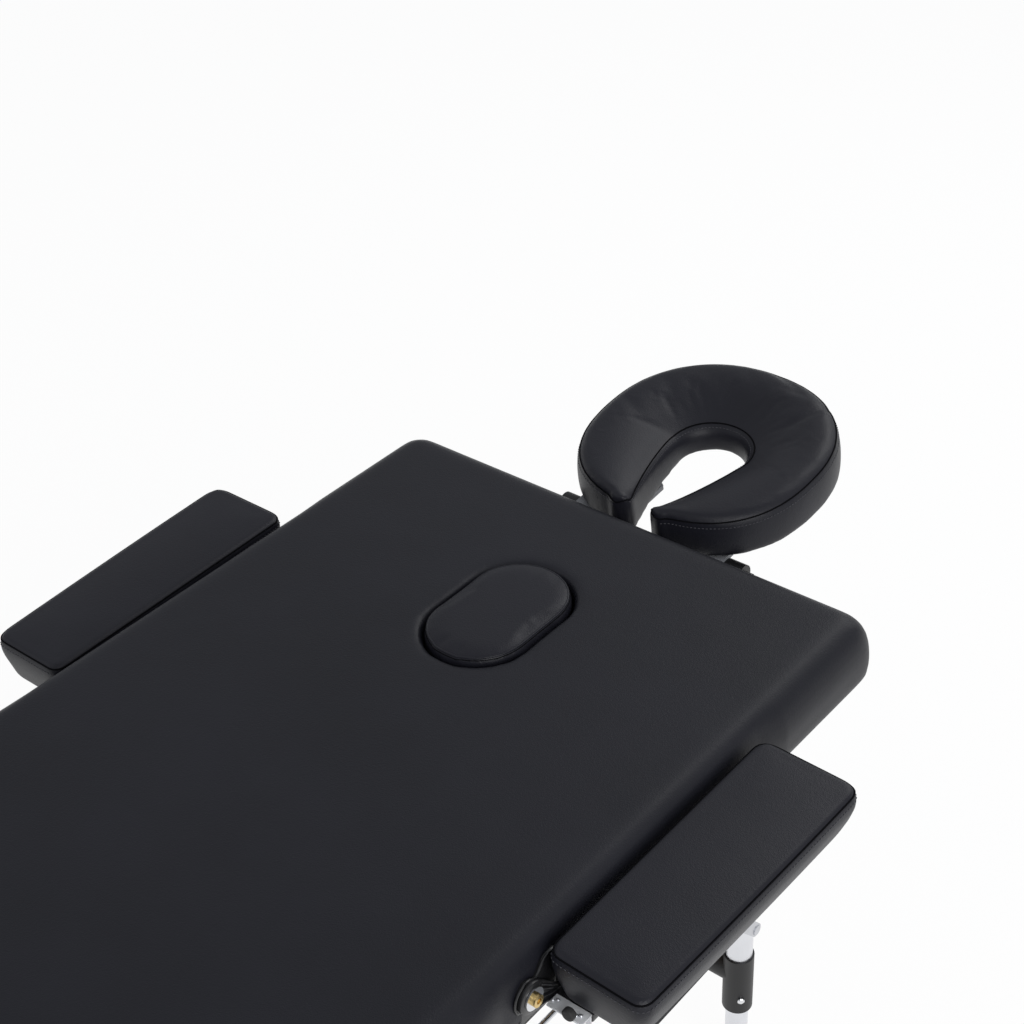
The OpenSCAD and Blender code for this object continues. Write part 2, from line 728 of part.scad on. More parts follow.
// Armrest mounts: a moulded foot under the board and an upright beside the pad
mount_foot_t = 4;
mount_drop = 22;
mount_top = table_h - mount_drop;
module mount_outline_2d() {
    translate([hub_y, hub_z]) circle(r = hub_r);
    translate([hub_y - hub_r, board_bottom - mount_foot_t])
        square([mount_l, hub_z - board_bottom + mount_foot_t]);
    translate([hub_y, hub_z]) square([mount_l - hub_r, mount_top - hub_z]);
}
module armrest_mounts() {
    placed() color([0.07, 0.07, 0.08]) both_sides() difference() {
        union() {
            plate_yz(mount_x, mount_t) mount_outline_2d();
            translate([rail_x + 2 * slide_gap, hub_y - hub_r, board_bottom - mount_foot_t])
                cube([mount_x + mount_t - rail_x - 2 * slide_gap, mount_l, mount_foot_t]);
        }
        rod_x(bolt_r, mount_x - over, mount_x + mount_t + over, hub_y, hub_z);
    }
}

module armrest_bolts() {
    face = swing_x + hub_t + washer_t + link_gap;
    placed() color([0.72, 0.58, 0.3]) both_sides() difference() {
        union() {
            rod_x(bolt_r, mount_x, face, hub_y, hub_z);
            rod_x(hex_r, face, face + hex_t, hub_y, hub_z);
        }
        hex_head(face + hex_t / 2, hex_t, hub_y, hub_z, hex_r / 2);
    }
}

module armrest_washers() {
    x = swing_x + hub_t + link_gap;
    placed() color([0.85, 0.86, 0.88]) both_sides() difference() {
        rod_x(washer_r, x, x + washer_t, hub_y, hub_z);
        rod_x(bolt_r, x - over, x + washer_t + over, hub_y, hub_z);
    }
}

// Armrests: a ribbed arm on the hub, a steel plate, a board and its cushion
arm_reach = 96;
arm_out = 44;
arm_pad_t = 9;
rib_n = 4;
rib_t = 2.5;
rib_h = 4;
arm_under = arm_bottom - plate_t;
module armrest_arm(right) {
    placed() at_side(right) color([0.09, 0.09, 0.1]) difference() {
        union() {
            rod_x(hub_r, swing_x, swing_x + hub_t, hub_y, hub_z);
            plate_yz(swing_x, hub_t) {
                translate([hub_y - hub_r / 2, arm_under - arm_pad_t])
                    square([arm_reach + hub_r / 2, arm_pad_t]);
                polygon([
                    [hub_y, arm_under - arm_pad_t / 2], [hub_y + 2 * hub_r, arm_under - arm_pad_t / 2],
                    [hub_y + 2 * hub_r, arm_under], [hub_y + hub_r * cos(45), hub_z + hub_r * sin(45)],
                    [hub_y, hub_z]
                ]);
            }
            translate([swing_x, hub_y + hub_r / 2, arm_under - arm_pad_t])
                cube([arm_out, arm_reach - hub_r / 2, arm_pad_t]);
            for (k = [0 : rib_n - 1])
                translate([swing_x + hub_t + k * (arm_out - hub_t - rib_t) / (rib_n - 1),
                    hub_y + hub_r / 2, arm_under - arm_pad_t - rib_h])
                    cube([rib_t, arm_reach - hub_r / 2, rib_h]);
        }
        rod_x(bolt_r + run_gap, swing_x - over, swing_x + hub_t + over, hub_y, hub_z);
    }
}

arm_mid_x = arm_x + arm_w / 2;
arm_mid_y = (arm_y0 + arm_y1) / 2;
cap_r = 8;
cap_h = 7;
module armrest_plate(right) {
    plate_w = arm_w - 2 * arm_tuck;
    plate_l = arm_l - 3 * arm_tuck;
    placed() at_side(right) color([0.85, 0.86, 0.88]) {
        translate([arm_mid_x, arm_mid_y, arm_under]) linear_extrude(height = plate_t)
            round_rect_2d(plate_w, plate_l, arm_tuck / 4);
        translate([arm_mid_x + plate_w / 4, arm_mid_y - plate_l / 2 + 2 * cap_r, arm_under - cap_h])
            cylinder(r = cap_r, h = cap_h);
    }
}

module armrest_board(right) {
    placed() at_side(right) color([0.2, 0.2, 0.21])
        translate([arm_mid_x, arm_mid_y, arm_bottom]) linear_extrude(height = arm_board_t)
            round_rect_2d(arm_w - 2 * arm_tuck / 1.4, arm_l - 2 * arm_tuck / 1.4, arm_tuck / 2);
}

arm_crown = 4;
arm_corner_r = 14;
arm_pull = 2;
module armrest_cushion(right) {
    placed() at_side(right) color([0.17, 0.17, 0.19])
        translate([arm_mid_x, arm_mid_y, arm_bottom + arm_board_t])
            soft_slab(arm_w, arm_l, arm_t, arm_corner_r, arm_roll, arm_tuck / 1.4, arm_crown, arm_pull);
}
module armrest_arm_right() { armrest_arm(true); }
module armrest_arm_left() { armrest_arm(false); }
module armrest_plate_right() { armrest_plate(true); }
module armrest_plate_left() { armrest_plate(false); }
module armrest_board_right() { armrest_board(true); }
module armrest_board_left() { armrest_board(false); }
module armrest_cushion_right() { armrest_cushion(true); }
module armrest_cushion_left() { armrest_cushion(false); }

// Face cradle: posts, moulded uprights, a tilting plate on its axle, a cam lever, the cushion
post_out = upright_y + upright_w / 2 - half_l;
module cradle_posts() {
    placed() color([0.82, 0.83, 0.85]) both_sides()
        rod_y(post_r, half_l - post_in, half_l + post_out - 2 * slide_gap, post_x, post_z);
}

upright_r = 13;
module cradle_uprights() {
    low = post_z - upright_w / 2;
    placed() color([0.08, 0.08, 0.09]) both_sides() difference() {
        plate_yz(post_x - upright_w / 2, upright_w) {
            translate([upright_y, axle_z]) circle(r = upright_r);
            translate([upright_y - upright_w / 2, low]) square([upright_w, axle_z - low]);
        }
        rod_y(post_r, upright_y - upright_w / 2 - over, half_l + post_out - 2 * slide_gap, post_x, post_z);
        rod_x(axle_r + run_gap, post_x - upright_w, post_x + upright_w, upright_y, axle_z);
    }
}

lug_t = 8;
lug_x = post_x - upright_w / 2 - slide_gap - lug_t;
lever_x = post_x + upright_w / 2 + slide_gap;
lever_t = 9;
plate_in = 12;
plate_r = 100;
ear_w = 26;
ear_l = 52;
slot_w = 62;

// Tilts the cradle's head about its axle
module tilted() {
    placed() translate([0, upright_y, axle_z]) rotate([cradle_turn, 0, 0])
        translate([0, -upright_y, -axle_z]) children();
}

module cradle_outline_2d() {
    hole_w = cradle_hole_w + plate_in;
    difference() {
        round_rect_2d(cradle_w - 2 * plate_in, cradle_l - 2 * plate_in, plate_r);
        circle(d = hole_w);
        translate([-slot_w / 2, -cradle_l]) square([slot_w, cradle_l]);
    }
}
module cradle_plate() {
    tilted() color([0.55, 0.56, 0.58]) {
        translate([0, cradle_mid_y, plate_z - cradle_plate_t]) linear_extrude(height = cradle_plate_t)
            cradle_outline_2d();
        both_sides() translate([lug_x + lug_t - ear_w, upright_y - 3 * axle_r, plate_z - cradle_plate_t])
            cube([ear_w, ear_l, cradle_plate_t]);
        both_sides() plate_yz(lug_x, lug_t) {
            translate([upright_y, axle_z]) circle(r = 2 * axle_r);
            translate([upright_y - 2 * axle_r, axle_z]) square([4 * axle_r, plate_z - axle_z]);
        }
        rod_x(axle_r, -lever_x, lever_x + lever_t + slide_gap, upright_y, axle_z);
    }
}

// The cushion is swept round between an outer and an inner curve, from one tip to the other
sweep_n = 30;
tip_n = 8;
outer_start = -82;
inner_start = -38;
outer_bend = 2.4;
inner_bend = 1.3;
hole_front = 158;
tip_round = 6;
// Shares of the section's size, and of the way to the slot, at the first stations from a tip
tip_share = [0.78, 0.94, 0.99];
slot_share = [1.00, 0.70, 0.35];
function share_at(list, e, rest) = e < len(list) ? list[e] : rest;
function bent(v, bend) = sign(v) * pow(abs(v), 2 / bend);
function outer_at(a) = [cradle_rx * bent(cos(a), outer_bend), cradle_ry * bent(sin(a), outer_bend)];
function inner_at(a) = sin(a) < 0
    ? [hole_rx * bent(cos(a), inner_bend), hole_front * bent(sin(a), inner_bend)]
    : [hole_rx * cos(a), hole_rx * sin(a)];
function sweep_ring(i) =
    let (e = min(i, sweep_n - i))
    let (t = max(0, min(1, (e - len(tip_share)) / (sweep_n / 2 - len(tip_share)))))
    let (side = 2 * i < sweep_n ? 1 : -1)
    let (o = outer_at(outer_start + (90 - outer_start) * t))
    let (n = inner_at(inner_start + (90 - inner_start) * t))
    let (k = share_at(tip_share, e, 1))
    let (shift = tip_round * share_at(slot_share, e, 0))
    let (c = (o + n) / 2 - [shift, 0])
    let (half = k * (o - n) / 2)
    let (w = min(1, e / tip_n))
    [for (j = [0 : len(back_share) - 1])
        let (p = back_share[j] * w + end_share[j] * (1 - w))
        let (q = c + half * p[0])
        [side * q[0], q[1], cradle_h * (0.5 + (p[1] - 0.5) * (k + 1) / 2)]];
module cradle_cushion() {
    rings = [for (i = [sweep_n : -1 : 0]) sweep_ring(i)];
    tilted() color([0.17, 0.17, 0.19]) translate([0, cradle_mid_y, cradle_bottom])
        polyhedron(points = join_rings(rings), faces = skin(len(rings), len(back_share)), convexity = 8);
}

lever_l = 52;
lever_w = 13;
module cradle_lever() {
    placed() color([0.08, 0.08, 0.09]) difference() {
        bar_yz(lever_x, lever_t, [upright_y, axle_z], [upright_y + lever_w / 2, axle_z - lever_l], lever_w);
        rod_x(axle_r + run_gap, lever_x - over, lever_x + lever_t + over, upright_y, axle_z);
    }
}

head_board();
head_cushion();
head_side_rails();
head_end_rails();
head_brackets();
head_pivot_bolts();
post_sockets();
armrest_mounts();
armrest_bolts();
armrest_washers();
head_hinge_leaves();
hinge_pins();
head_truss_rods();
tail_board();
tail_cushion();
tail_side_rails();
tail_end_rails();
tail_brackets();
tail_pivot_bolts();
tail_hinge_leaves();
tail_truss_rods();
face_plug();
head_leg_tubes();
head_t_joints();
head_cross_tube();
tail_leg_tubes();
tail_t_joints();
tail_cross_tube();
lower_leg_head_right();
lower_leg_head_left();
lower_leg_tail_right();
lower_leg_tail_left();
foot_head_right();
foot_head_left();
foot_tail_right();
foot_tail_left();
button_head_right();
button_head_left();
button_tail_right();
button_tail_left();
head_upper_stays();
head_lower_stays();
tail_upper_stays();
tail_lower_stays();
armrest_arm_right();
armrest_plate_right();
armrest_board_right();
armrest_cushion_right();
armrest_arm_left();
armrest_plate_left();
armrest_board_left();
armrest_cushion_left();
cradle_posts();
cradle_uprights();
cradle_plate();
cradle_cushion();
cradle_lever();
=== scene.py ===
import math

import bmesh
import bpy
from mathutils import Matrix, Vector


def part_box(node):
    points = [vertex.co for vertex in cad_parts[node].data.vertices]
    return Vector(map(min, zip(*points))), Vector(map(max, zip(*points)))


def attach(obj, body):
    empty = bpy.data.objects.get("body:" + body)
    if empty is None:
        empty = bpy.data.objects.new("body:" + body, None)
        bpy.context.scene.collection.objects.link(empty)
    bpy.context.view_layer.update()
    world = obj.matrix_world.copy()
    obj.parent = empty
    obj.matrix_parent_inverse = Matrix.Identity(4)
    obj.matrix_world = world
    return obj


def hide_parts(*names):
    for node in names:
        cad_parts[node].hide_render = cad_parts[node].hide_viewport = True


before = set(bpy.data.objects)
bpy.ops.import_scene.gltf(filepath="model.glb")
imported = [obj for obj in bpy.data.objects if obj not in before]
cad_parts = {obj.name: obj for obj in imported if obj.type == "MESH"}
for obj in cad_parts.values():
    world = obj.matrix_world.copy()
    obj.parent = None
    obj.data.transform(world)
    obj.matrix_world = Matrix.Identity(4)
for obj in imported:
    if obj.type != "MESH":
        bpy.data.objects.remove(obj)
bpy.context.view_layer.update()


# The two padded halves: thick foam on plywood under one sheet of black vinyl, which rolls over
# the edges and is tacked underneath. Each starts as a block whose corners and rims are rounded,
# and its cover then swells a little under cloth pressure.
def take(*pieces):
    bpy.ops.object.select_all(action="DESELECT")
    for piece in pieces:
        piece.select_set(True)
    bpy.context.view_layer.objects.active = pieces[0]


def block(name, low, high):
    bpy.ops.object.select_all(action="DESELECT")
    low, high = Vector(low), Vector(high)
    bpy.ops.mesh.primitive_cube_add(size=1, location=(low + high) / 2)
    piece = bpy.context.object
    piece.name = piece.data.name = name
    piece.scale = high - low
    bpy.ops.object.transform_apply(location=True, rotation=True, scale=True)
    return piece


def round_edges(piece, chosen, width, steps):
    take(piece)
    bpy.ops.object.mode_set(mode="EDIT")
    bpy.ops.mesh.select_mode(type="EDGE")
    bpy.ops.mesh.select_all(action="DESELECT")
    mesh = bmesh.from_edit_mesh(piece.data)
    for edge in mesh.edges:
        edge.select_set(chosen(edge.verts[0].co, edge.verts[1].co))
    bmesh.update_edit_mesh(piece.data)
    bpy.ops.mesh.bevel(offset=width, segments=steps, affect="EDGES")
    bpy.ops.object.mode_set(mode="OBJECT")


def press(piece, kind, **values):
    take(piece)
    step = piece.modifiers.new(kind.title(), kind)
    for key, value in values.items():
        setattr(step, key, value)
    bpy.ops.object.modifier_apply(modifier=step.name)


def stadium(name, middle, width, length, bottom, top):
    """An upright block with two round ends."""
    x, y = middle
    piece = block(name, (x - width / 2, y - length / 2, bottom),
                  (x + width / 2, y + length / 2, top))
    round_edges(piece, lambda a, b: abs(a.z - b.z) > (top - bottom) / 2, width / 2 * 0.9999, 14)
    press(piece, "WELD", merge_threshold=0.0004)
    return piece


def swell(piece, cell, cap, free):
    """Remeshes a closed form and lets its cover swell; free gives each point's share of the cap."""
    frames, still, smallest = 20, 1e-7, 1e-5
    press(piece, "REMESH", mode="VOXEL", voxel_size=cell)
    press(piece, "SMOOTH", factor=0.5, iterations=3)
    start = [v.co.copy() for v in piece.data.vertices]
    share = [free(p) for p in start]
    held = piece.vertex_groups.new(name="held")
    for i, s in enumerate(share):
        held.add([i], 1 - s, "REPLACE")
    cloth = piece.modifiers.new("Cloth", "CLOTH")
    cloth.settings.quality = 4
    cloth.settings.mass = 0.3
    cloth.settings.tension_stiffness = 12
    cloth.settings.compression_stiffness = 12
    cloth.settings.bending_stiffness = 0.6
    cloth.settings.use_pressure = True
    cloth.settings.uniform_pressure_force = 4
    cloth.settings.effector_weights.gravity = 0
    cloth.settings.vertex_group_mass = "held"
    cloth.point_cache.frame_end = frames
    for number in range(1, frames + 1):
        bpy.context.scene.frame_set(number)
    take(piece)
    bpy.ops.object.modifier_apply(modifier=cloth.name)
    bpy.context.scene.frame_set(1)
    piece.vertex_groups.clear()
    for v, s, was in zip(piece.data.vertices, share, start):
        move = v.co - was
        reach = cap * s
        if move.length > still:
            kept = math.tanh(move.length / max(reach, smallest)) * reach
            v.co = was + move * (kept / move.length)
    press(piece, "SUBSURF", levels=1, render_levels=1)
    take(piece)
    bpy.ops.object.shade_smooth()


def new_finish(name):
    finish = bpy.data.materials.new(name)
    finish.use_nodes = True
    nodes, links = finish.node_tree.nodes, finish.node_tree.links
    shader = nodes["Principled BSDF"]
    spot = nodes.new("ShaderNodeTexCoord").outputs["Object"]
    return finish, nodes, links, shader, spot


def add(nodes, kind, inputs=(), **values):
    """One node with its settings and socket values."""
    made = nodes.new(kind)
    for key, value in values.items():
        setattr(made, key, value)
    for key, value in dict(inputs).items():
        made.inputs[key].default_value = value
    return made


def ramp(nodes, links, source, low, high, near=0.3, far=0.7):
    """Colours between two tones, by a pattern's value."""
    made = nodes.new("ShaderNodeValToRGB")
    made.color_ramp.elements[0].position, made.color_ramp.elements[1].position = near, far
    made.color_ramp.elements[0].color, made.color_ramp.elements[1].color = (*low, 1), (*high, 1)
    links.new(source, made.inputs["Fac"])
    return made.outputs["Color"]


def span(nodes, links, source, low, high):
    made = add(nodes, "ShaderNodeMapRange", {"To Min": low, "To Max": high})
    links.new(source, made.inputs["Value"])
    return made.outputs["Result"]


def vinyl(name, dark, light, rough):
    """Black vinyl with a fine pebbled grain, faint mottling and slow waves in the cover."""
    finish, nodes, links, shader, spot = new_finish(name)
    mottle = add(nodes, "ShaderNodeTexNoise", {"Scale": 7.0, "Detail": 4.0, "Roughness": 0.6})
    pebble = add(nodes, "ShaderNodeTexVoronoi", {"Scale": 820.0, "Randomness": 1.0})
    crease = add(nodes, "ShaderNodeTexNoise", {"Scale": 330.0, "Detail": 3.0})
    wave = add(nodes, "ShaderNodeTexNoise", {"Scale": 16.0, "Detail": 1.0})
    for pattern in (mottle, pebble, crease, wave):
        links.new(spot, pattern.inputs["Vector"])
    links.new(ramp(nodes, links, mottle.outputs["Fac"], dark, light), shader.inputs["Base Color"])
    links.new(span(nodes, links, mottle.outputs["Fac"], rough - 0.05, rough + 0.06),
              shader.inputs["Roughness"])
    slow = add(nodes, "ShaderNodeBump", {"Strength": 0.16, "Distance": 0.004})
    fine = add(nodes, "ShaderNodeBump", {"Strength": 0.35, "Distance": 0.00035})
    grain = add(nodes, "ShaderNodeBump", {"Strength": 0.5, "Distance": 0.00025})
    links.new(wave.outputs["Fac"], slow.inputs["Height"])
    links.new(crease.outputs["Fac"], fine.inputs["Height"])
    links.new(pebble.outputs["Distance"], grain.inputs["Height"])
    links.new(slow.outputs["Normal"], fine.inputs["Normal"])
    links.new(fine.outputs["Normal"], grain.inputs["Normal"])
    links.new(grain.outputs["Normal"], shader.inputs["Normal"])
    shader.inputs["Specular IOR Level"].default_value = 0.25
    return finish


def between(table, u):
    """A row of values from a table of evenly spaced rows."""
    u = max(0.0, min(1.0, u)) * (len(table) - 1)
    i = min(int(u), len(table) - 2)
    return [a + (b - a) * (u - i) for a, b in zip(table[i], table[i + 1])]


pad_vinyl = vinyl("pad_vinyl_cover", (0.0070, 0.0073, 0.0108), (0.0092, 0.0095, 0.0141), 0.46)
board_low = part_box("head_board")[0].z
hole_low, hole_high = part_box("face_plug")
hole_mid = ((hole_low.x + hole_high.x) / 2, (hole_low.y + hole_high.y) / 2)
hole_w, hole_l = 0.116, 0.176
pad_corner, pad_roll = 0.024, 0.021
pad_swell, crown_share = 0.0042, 0.35
hem_w, flare, hem_drop, under_lift = 0.024, 0.006, 0.0055, 0.005
inside_solid, cutter_slack, rim_round, slight = 0.0006, 0.002, 0.006, 0.0001
pad_cell, upright_min = 0.0075, 0.03
side_belly = [(0.0014,), (0.0028,), (0.0042,), (0.0052,), (0.0058,),
              (0.0058,), (0.0052,), (0.0038,), (0.0016,), (0.0,)]
arm_low, arm_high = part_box("armrest_cushion_right")
mount_low, mount_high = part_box("armrest_mounts")
fold_y = (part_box("head_board")[0].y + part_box("tail_board")[1].y) / 2


def pad_freedom(p):
    """Sides swell most, the flat top less, and the opening's rim and the tacked edge hardly."""
    share = min(1.0, max(0.0, (p.z - board_low - 0.004) / 0.03))
    if p.z > pad_top - 0.004:
        share = crown_share
    elif p.z > pad_top - pad_roll:
        share = crown_share + (1 - crown_share) * (pad_top - 0.004 - p.z) / (pad_roll - 0.004)
    reach_y = abs(p.y - hole_mid[1]) - (hole_l - hole_w) / 2
    to_hole = math.hypot(p.x, max(0.0, reach_y)) - hole_w / 2
    share *= min(1.0, max(0.12, (to_hole - 0.005) / 0.02))
    if p.z < mount_high.z + 0.006 and abs(p.x) > 0.28:
        share *= min(1.0, max(0.0, max(mount_low.y - p.y, p.y - mount_high.y) / 0.012))
    return share


def belly(p, end):
    """How far the sides and the outer end stand out at mid height, less by the armrests."""
    out = between(side_belly, (p.z - board_low) / (pad_top - board_low))[0]
    side = min(1.0, max(0.0, (abs(p.x) - 0.25) / 0.045))
    along = p.y if end > 0 else 2 * fold_y - p.y
    past = max(mount_low.y - 0.01 - along, along - arm_high.y - 0.005)
    side *= min(1.0, max(0.12, past / 0.04))
    front = min(1.0, max(0.0, (0.05 - abs(p.y - end)) / 0.045))
    return Vector((math.copysign(out * side, p.x), math.copysign(out * front, end), 0))


for half in ("head", "tail"):
    low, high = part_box(half + "_cushion")
    pad_top = high.z - pad_swell * crown_share
    pad = block(half + "_pad",
                (low.x + inside_solid, low.y + inside_solid, board_low + inside_solid),
                (high.x - inside_solid, high.y - inside_solid, pad_top))
    round_edges(pad, lambda a, b: abs(a.z - b.z) > upright_min, pad_corner, 7)
    round_edges(pad, lambda a, b: min(a.z, b.z) > pad_top - slight, pad_roll, 7)
    take(pad)
    bpy.ops.object.mode_set(mode="EDIT")
    bpy.ops.mesh.select_mode(type="FACE")
    bpy.ops.mesh.select_all(action="DESELECT")
    mesh = bmesh.from_edit_mesh(pad.data)
    for face in mesh.faces:
        face.select_set(face.normal.z < -0.9)
    bmesh.update_edit_mesh(pad.data)
    bpy.ops.mesh.inset(thickness=hem_w)
    bpy.ops.transform.translate(value=(0, 0, under_lift))
    bpy.ops.object.mode_set(mode="OBJECT")
    for v in pad.data.vertices:
        if v.co.z < board_low + 0.001:
            v.co.x += math.copysign(flare, v.co.x)
            v.co.y += math.copysign(flare, v.co.y - (low.y + high.y) / 2)
            v.co.z -= hem_drop
    if half == "head":
        cutter = stadium("hole_cutter", hole_mid, hole_w - cutter_slack, hole_l - cutter_slack,
                         board_low - 0.02, pad_top + 0.02)
        press(pad, "BOOLEAN", operation="DIFFERENCE", solver="EXACT", object=cutter)
        bpy.data.objects.remove(cutter)
        round_edges(pad, lambda a, b: min(a.z, b.z) > pad_top - slight
                    and max(abs(a.x), abs(b.x)) < 0.07
                    and max(abs(a.y - hole_mid[1]), abs(b.y - hole_mid[1])) < 0.1, rim_round, 3)
    swell(pad, pad_cell, pad_swell, pad_freedom)
    for v in pad.data.vertices:
        v.co += belly(v.co, high.y if half == "head" else low.y)
    pad.data.materials.append(pad_vinyl)
    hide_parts(half + "_cushion")
    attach(pad, half + "_half")


# The plug of the face opening: a foam block in the same vinyl, sewn round its top edge, which
# sits snugly in the opening and stands about level with the pad.
def lay_on(piece, points, lift=0.0):
    """Brings points to the nearest place on a piece's surface."""
    found = []
    for p in points:
        hit, spot, normal, face = piece.closest_point_on_mesh(p)
        found.append(spot + normal * lift if hit else p)
    return found


def tube(name, points, radius, closed=True):
    curve = bpy.data.curves.new(name, "CURVE")
    curve.dimensions = "3D"
    line = curve.splines.new("POLY")
    line.points.add(len(points) - 1)
    for knot, p in zip(line.points, points):
        knot.co = (*p, 1)
    line.use_cyclic_u = closed
    curve.bevel_depth = radius
    curve.bevel_resolution = 2
    curve.use_fill_caps = not closed
    made = bpy.data.objects.new(name, curve)
    bpy.context.scene.collection.objects.link(made)
    take(made)
    bpy.ops.object.convert(target="MESH")
    made = bpy.context.object
    bpy.ops.object.shade_smooth()
    return made


def walk(points, pitch, closed=True):
    """Places at even steps along a line, each with its direction."""
    ends = list(points) + ([points[0]] if closed else [])
    places, left = [], pitch / 2
    for a, b in zip(ends, ends[1:]):
        run = (b - a).length
        while left < run:
            places.append((a.lerp(b, left / run), (b - a).normalized()))
            left += pitch
        left -= run
    return places


def stitches(name, points, pitch, long, thick, closed=True):
    """A row of thread stitches: one is modelled, and the rest are copies of it."""
    bpy.ops.object.select_all(action="DESELECT")
    bpy.ops.mesh.primitive_uv_sphere_add(segments=6, ring_count=5, radius=1)
    first = bpy.context.object
    first.name = name
    first.scale = (long / 2, thick / 2, thick / 2)
    bpy.ops.object.transform_apply(location=True, rotation=True, scale=True)
    bpy.ops.object.shade_smooth()
    copies = []
    for place, way in walk(points, pitch, closed):
        copy = first.copy()
        copy.data = first.data.copy()
        bpy.context.scene.collection.objects.link(copy)
        turn = Vector((1, 0, 0)).rotation_difference(way).to_matrix().to_4x4()
        copy.data.transform(Matrix.Translation(place) @ turn)
        copies.append(copy)
    bpy.data.objects.remove(first)
    take(*copies)
    bpy.ops.object.join()
    row = bpy.context.object
    row.name = row.data.name = name
    return row


def loop_2d(width, length, corner, middle, height):
    """Points round a rectangle with rounded corners, seen from above."""
    ring, corner_turns, step = [], 12, 0.004
    for sx, sy, start in ((1, 1, 0), (-1, 1, 90), (-1, -1, 180), (1, -1, 270)):
        for k in range(corner_turns + 1):
            a = math.radians(start + 90 / corner_turns * k)
            ring.append(Vector((middle[0] + sx * (width / 2 - corner) + corner * math.cos(a),
                                middle[1] + sy * (length / 2 - corner) + corner * math.sin(a),
                                height)))
    full = ring + [ring[0]]
    line = [full[0]]
    for a, b in zip(full, full[1:]):
        steps = max(1, int((b - a).length / step))
        line += [a.lerp(b, k / steps) for k in range(1, steps + 1)]
    return line[:-1]


def sewing(name, dark, light):
    """Twisted sewing thread; made near-black, it also serves as painted shade along the seams."""
    finish, nodes, links, shader, spot = new_finish(name)
    twist = add(nodes, "ShaderNodeTexNoise", {"Scale": 2400.0, "Detail": 2.0})
    links.new(spot, twist.inputs["Vector"])
    links.new(ramp(nodes, links, twist.outputs["Fac"], dark, light), shader.inputs["Base Color"])
    bump = add(nodes, "ShaderNodeBump", {"Strength": 0.5, "Distance": 0.0002})
    links.new(twist.outputs["Fac"], bump.inputs["Height"])
    links.new(bump.outputs["Normal"], shader.inputs["Normal"])
    shader.inputs["Roughness"].default_value = 0.75
    return finish


# This dark thread material paints the shade in the seams' creases: near-black, with almost no
# specular. The seams themselves are real.
painted_seam_shade = sewing("painted_seam_shade", (0.0015, 0.0015, 0.002), (0.003, 0.003, 0.004))
painted_seam_shade.node_tree.nodes["Principled BSDF"].inputs["Specular IOR Level"].default_value = 0.05
top_thread = sewing("top_thread", (0.03, 0.03, 0.036), (0.06, 0.06, 0.07))
sewn_vinyl = vinyl("sewn_vinyl_cover", (0.0078, 0.0079, 0.0118), (0.0102, 0.0104, 0.0154), 0.43)
plug_w, plug_l = hole_w - 0.0024, hole_l - 0.0020
plug_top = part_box("head_cushion")[1].z + 0.0045
plug_growth, crown, plug_round, welt_in = 0.003, 0.0015, 0.0065, 0.0035
plug = stadium("plug_pad", hole_mid, plug_w - plug_growth, plug_l - plug_growth,
               board_low + 0.0005, plug_top - crown)
round_edges(plug, lambda a, b: min(a.z, b.z) > plug_top - crown - slight, plug_round, 4)
swell(plug, 0.0045, 0.0018, lambda p: 1.0 if p.z > board_low + 0.012 else 0.0)
plug.data.materials.append(sewn_vinyl)
rim = loop_2d(plug_w - welt_in, plug_l - welt_in, (plug_w - welt_in) / 2, hole_mid,
              plug_top - 0.0005)
rim = lay_on(plug, rim)
# A near-black line just under the welt paints the shade in the crease beneath it.
below_welt = [p - Vector((0, 0, 0.0028)) for p in rim]
plug_seam = tube("plug_seam", lay_on(plug, below_welt, 0.0001), 0.00055)
plug_seam.data.materials.append(painted_seam_shade)
plug_welt = tube("plug_welt", lay_on(plug, rim, -0.0003), 0.0013)
plug_welt.data.materials.append(sewn_vinyl)
for piece in (plug, plug_seam, plug_welt):
    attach(piece, "plug")
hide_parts("face_plug")


# The armrest pads: a top panel and a side band sewn together round the top edge, over foam on a
# thin board. The band bulges under the seam and draws in below, where it wraps the board's edge.
def drawn(height):
    """How far the band lies in from its widest line, by its share of the height."""
    table = [0.0135, 0.0112, 0.009, 0.0068, 0.0048, 0.003, 0.0014, 0.0003, 0.0, 0.0008, 0.003]
    return between([[x] for x in table], height)[0]


arm_corner, arm_swell, arm_shift, end_tuck = 0.014, 0.004, 0.0024, 0.6
arm_cell, board_wrap, seam_drop, stitch_drop = 0.0045, 0.0004, 0.0035, 0.0052
seam_r, stitch_pitch, stitch_long, stitch_thick = 0.0009, 0.0042, 0.003, 0.0009
arm_set = {"right": (0.005, 0.0, 0.0075), "left": (0.0, 0.007, 0.009)}


def settled(p, side):
    """The pads sit a little askew: both narrow to the tail end, one leans and one sags."""
    lean, drop, taper = arm_set[side]
    back = (arm_high.y - p.y) / (arm_high.y - arm_low.y)
    inward = (arm_high.x - abs(p.x)) / (arm_high.x - arm_low.x)
    height = (p.z - arm_foot) / (arm_high.z - arm_foot)
    return Vector((p.x - math.copysign(taper * max(0.0, back) ** 1.5 * (1 - inward), p.x), p.y,
                   p.z + lean * inward * height - drop * back))


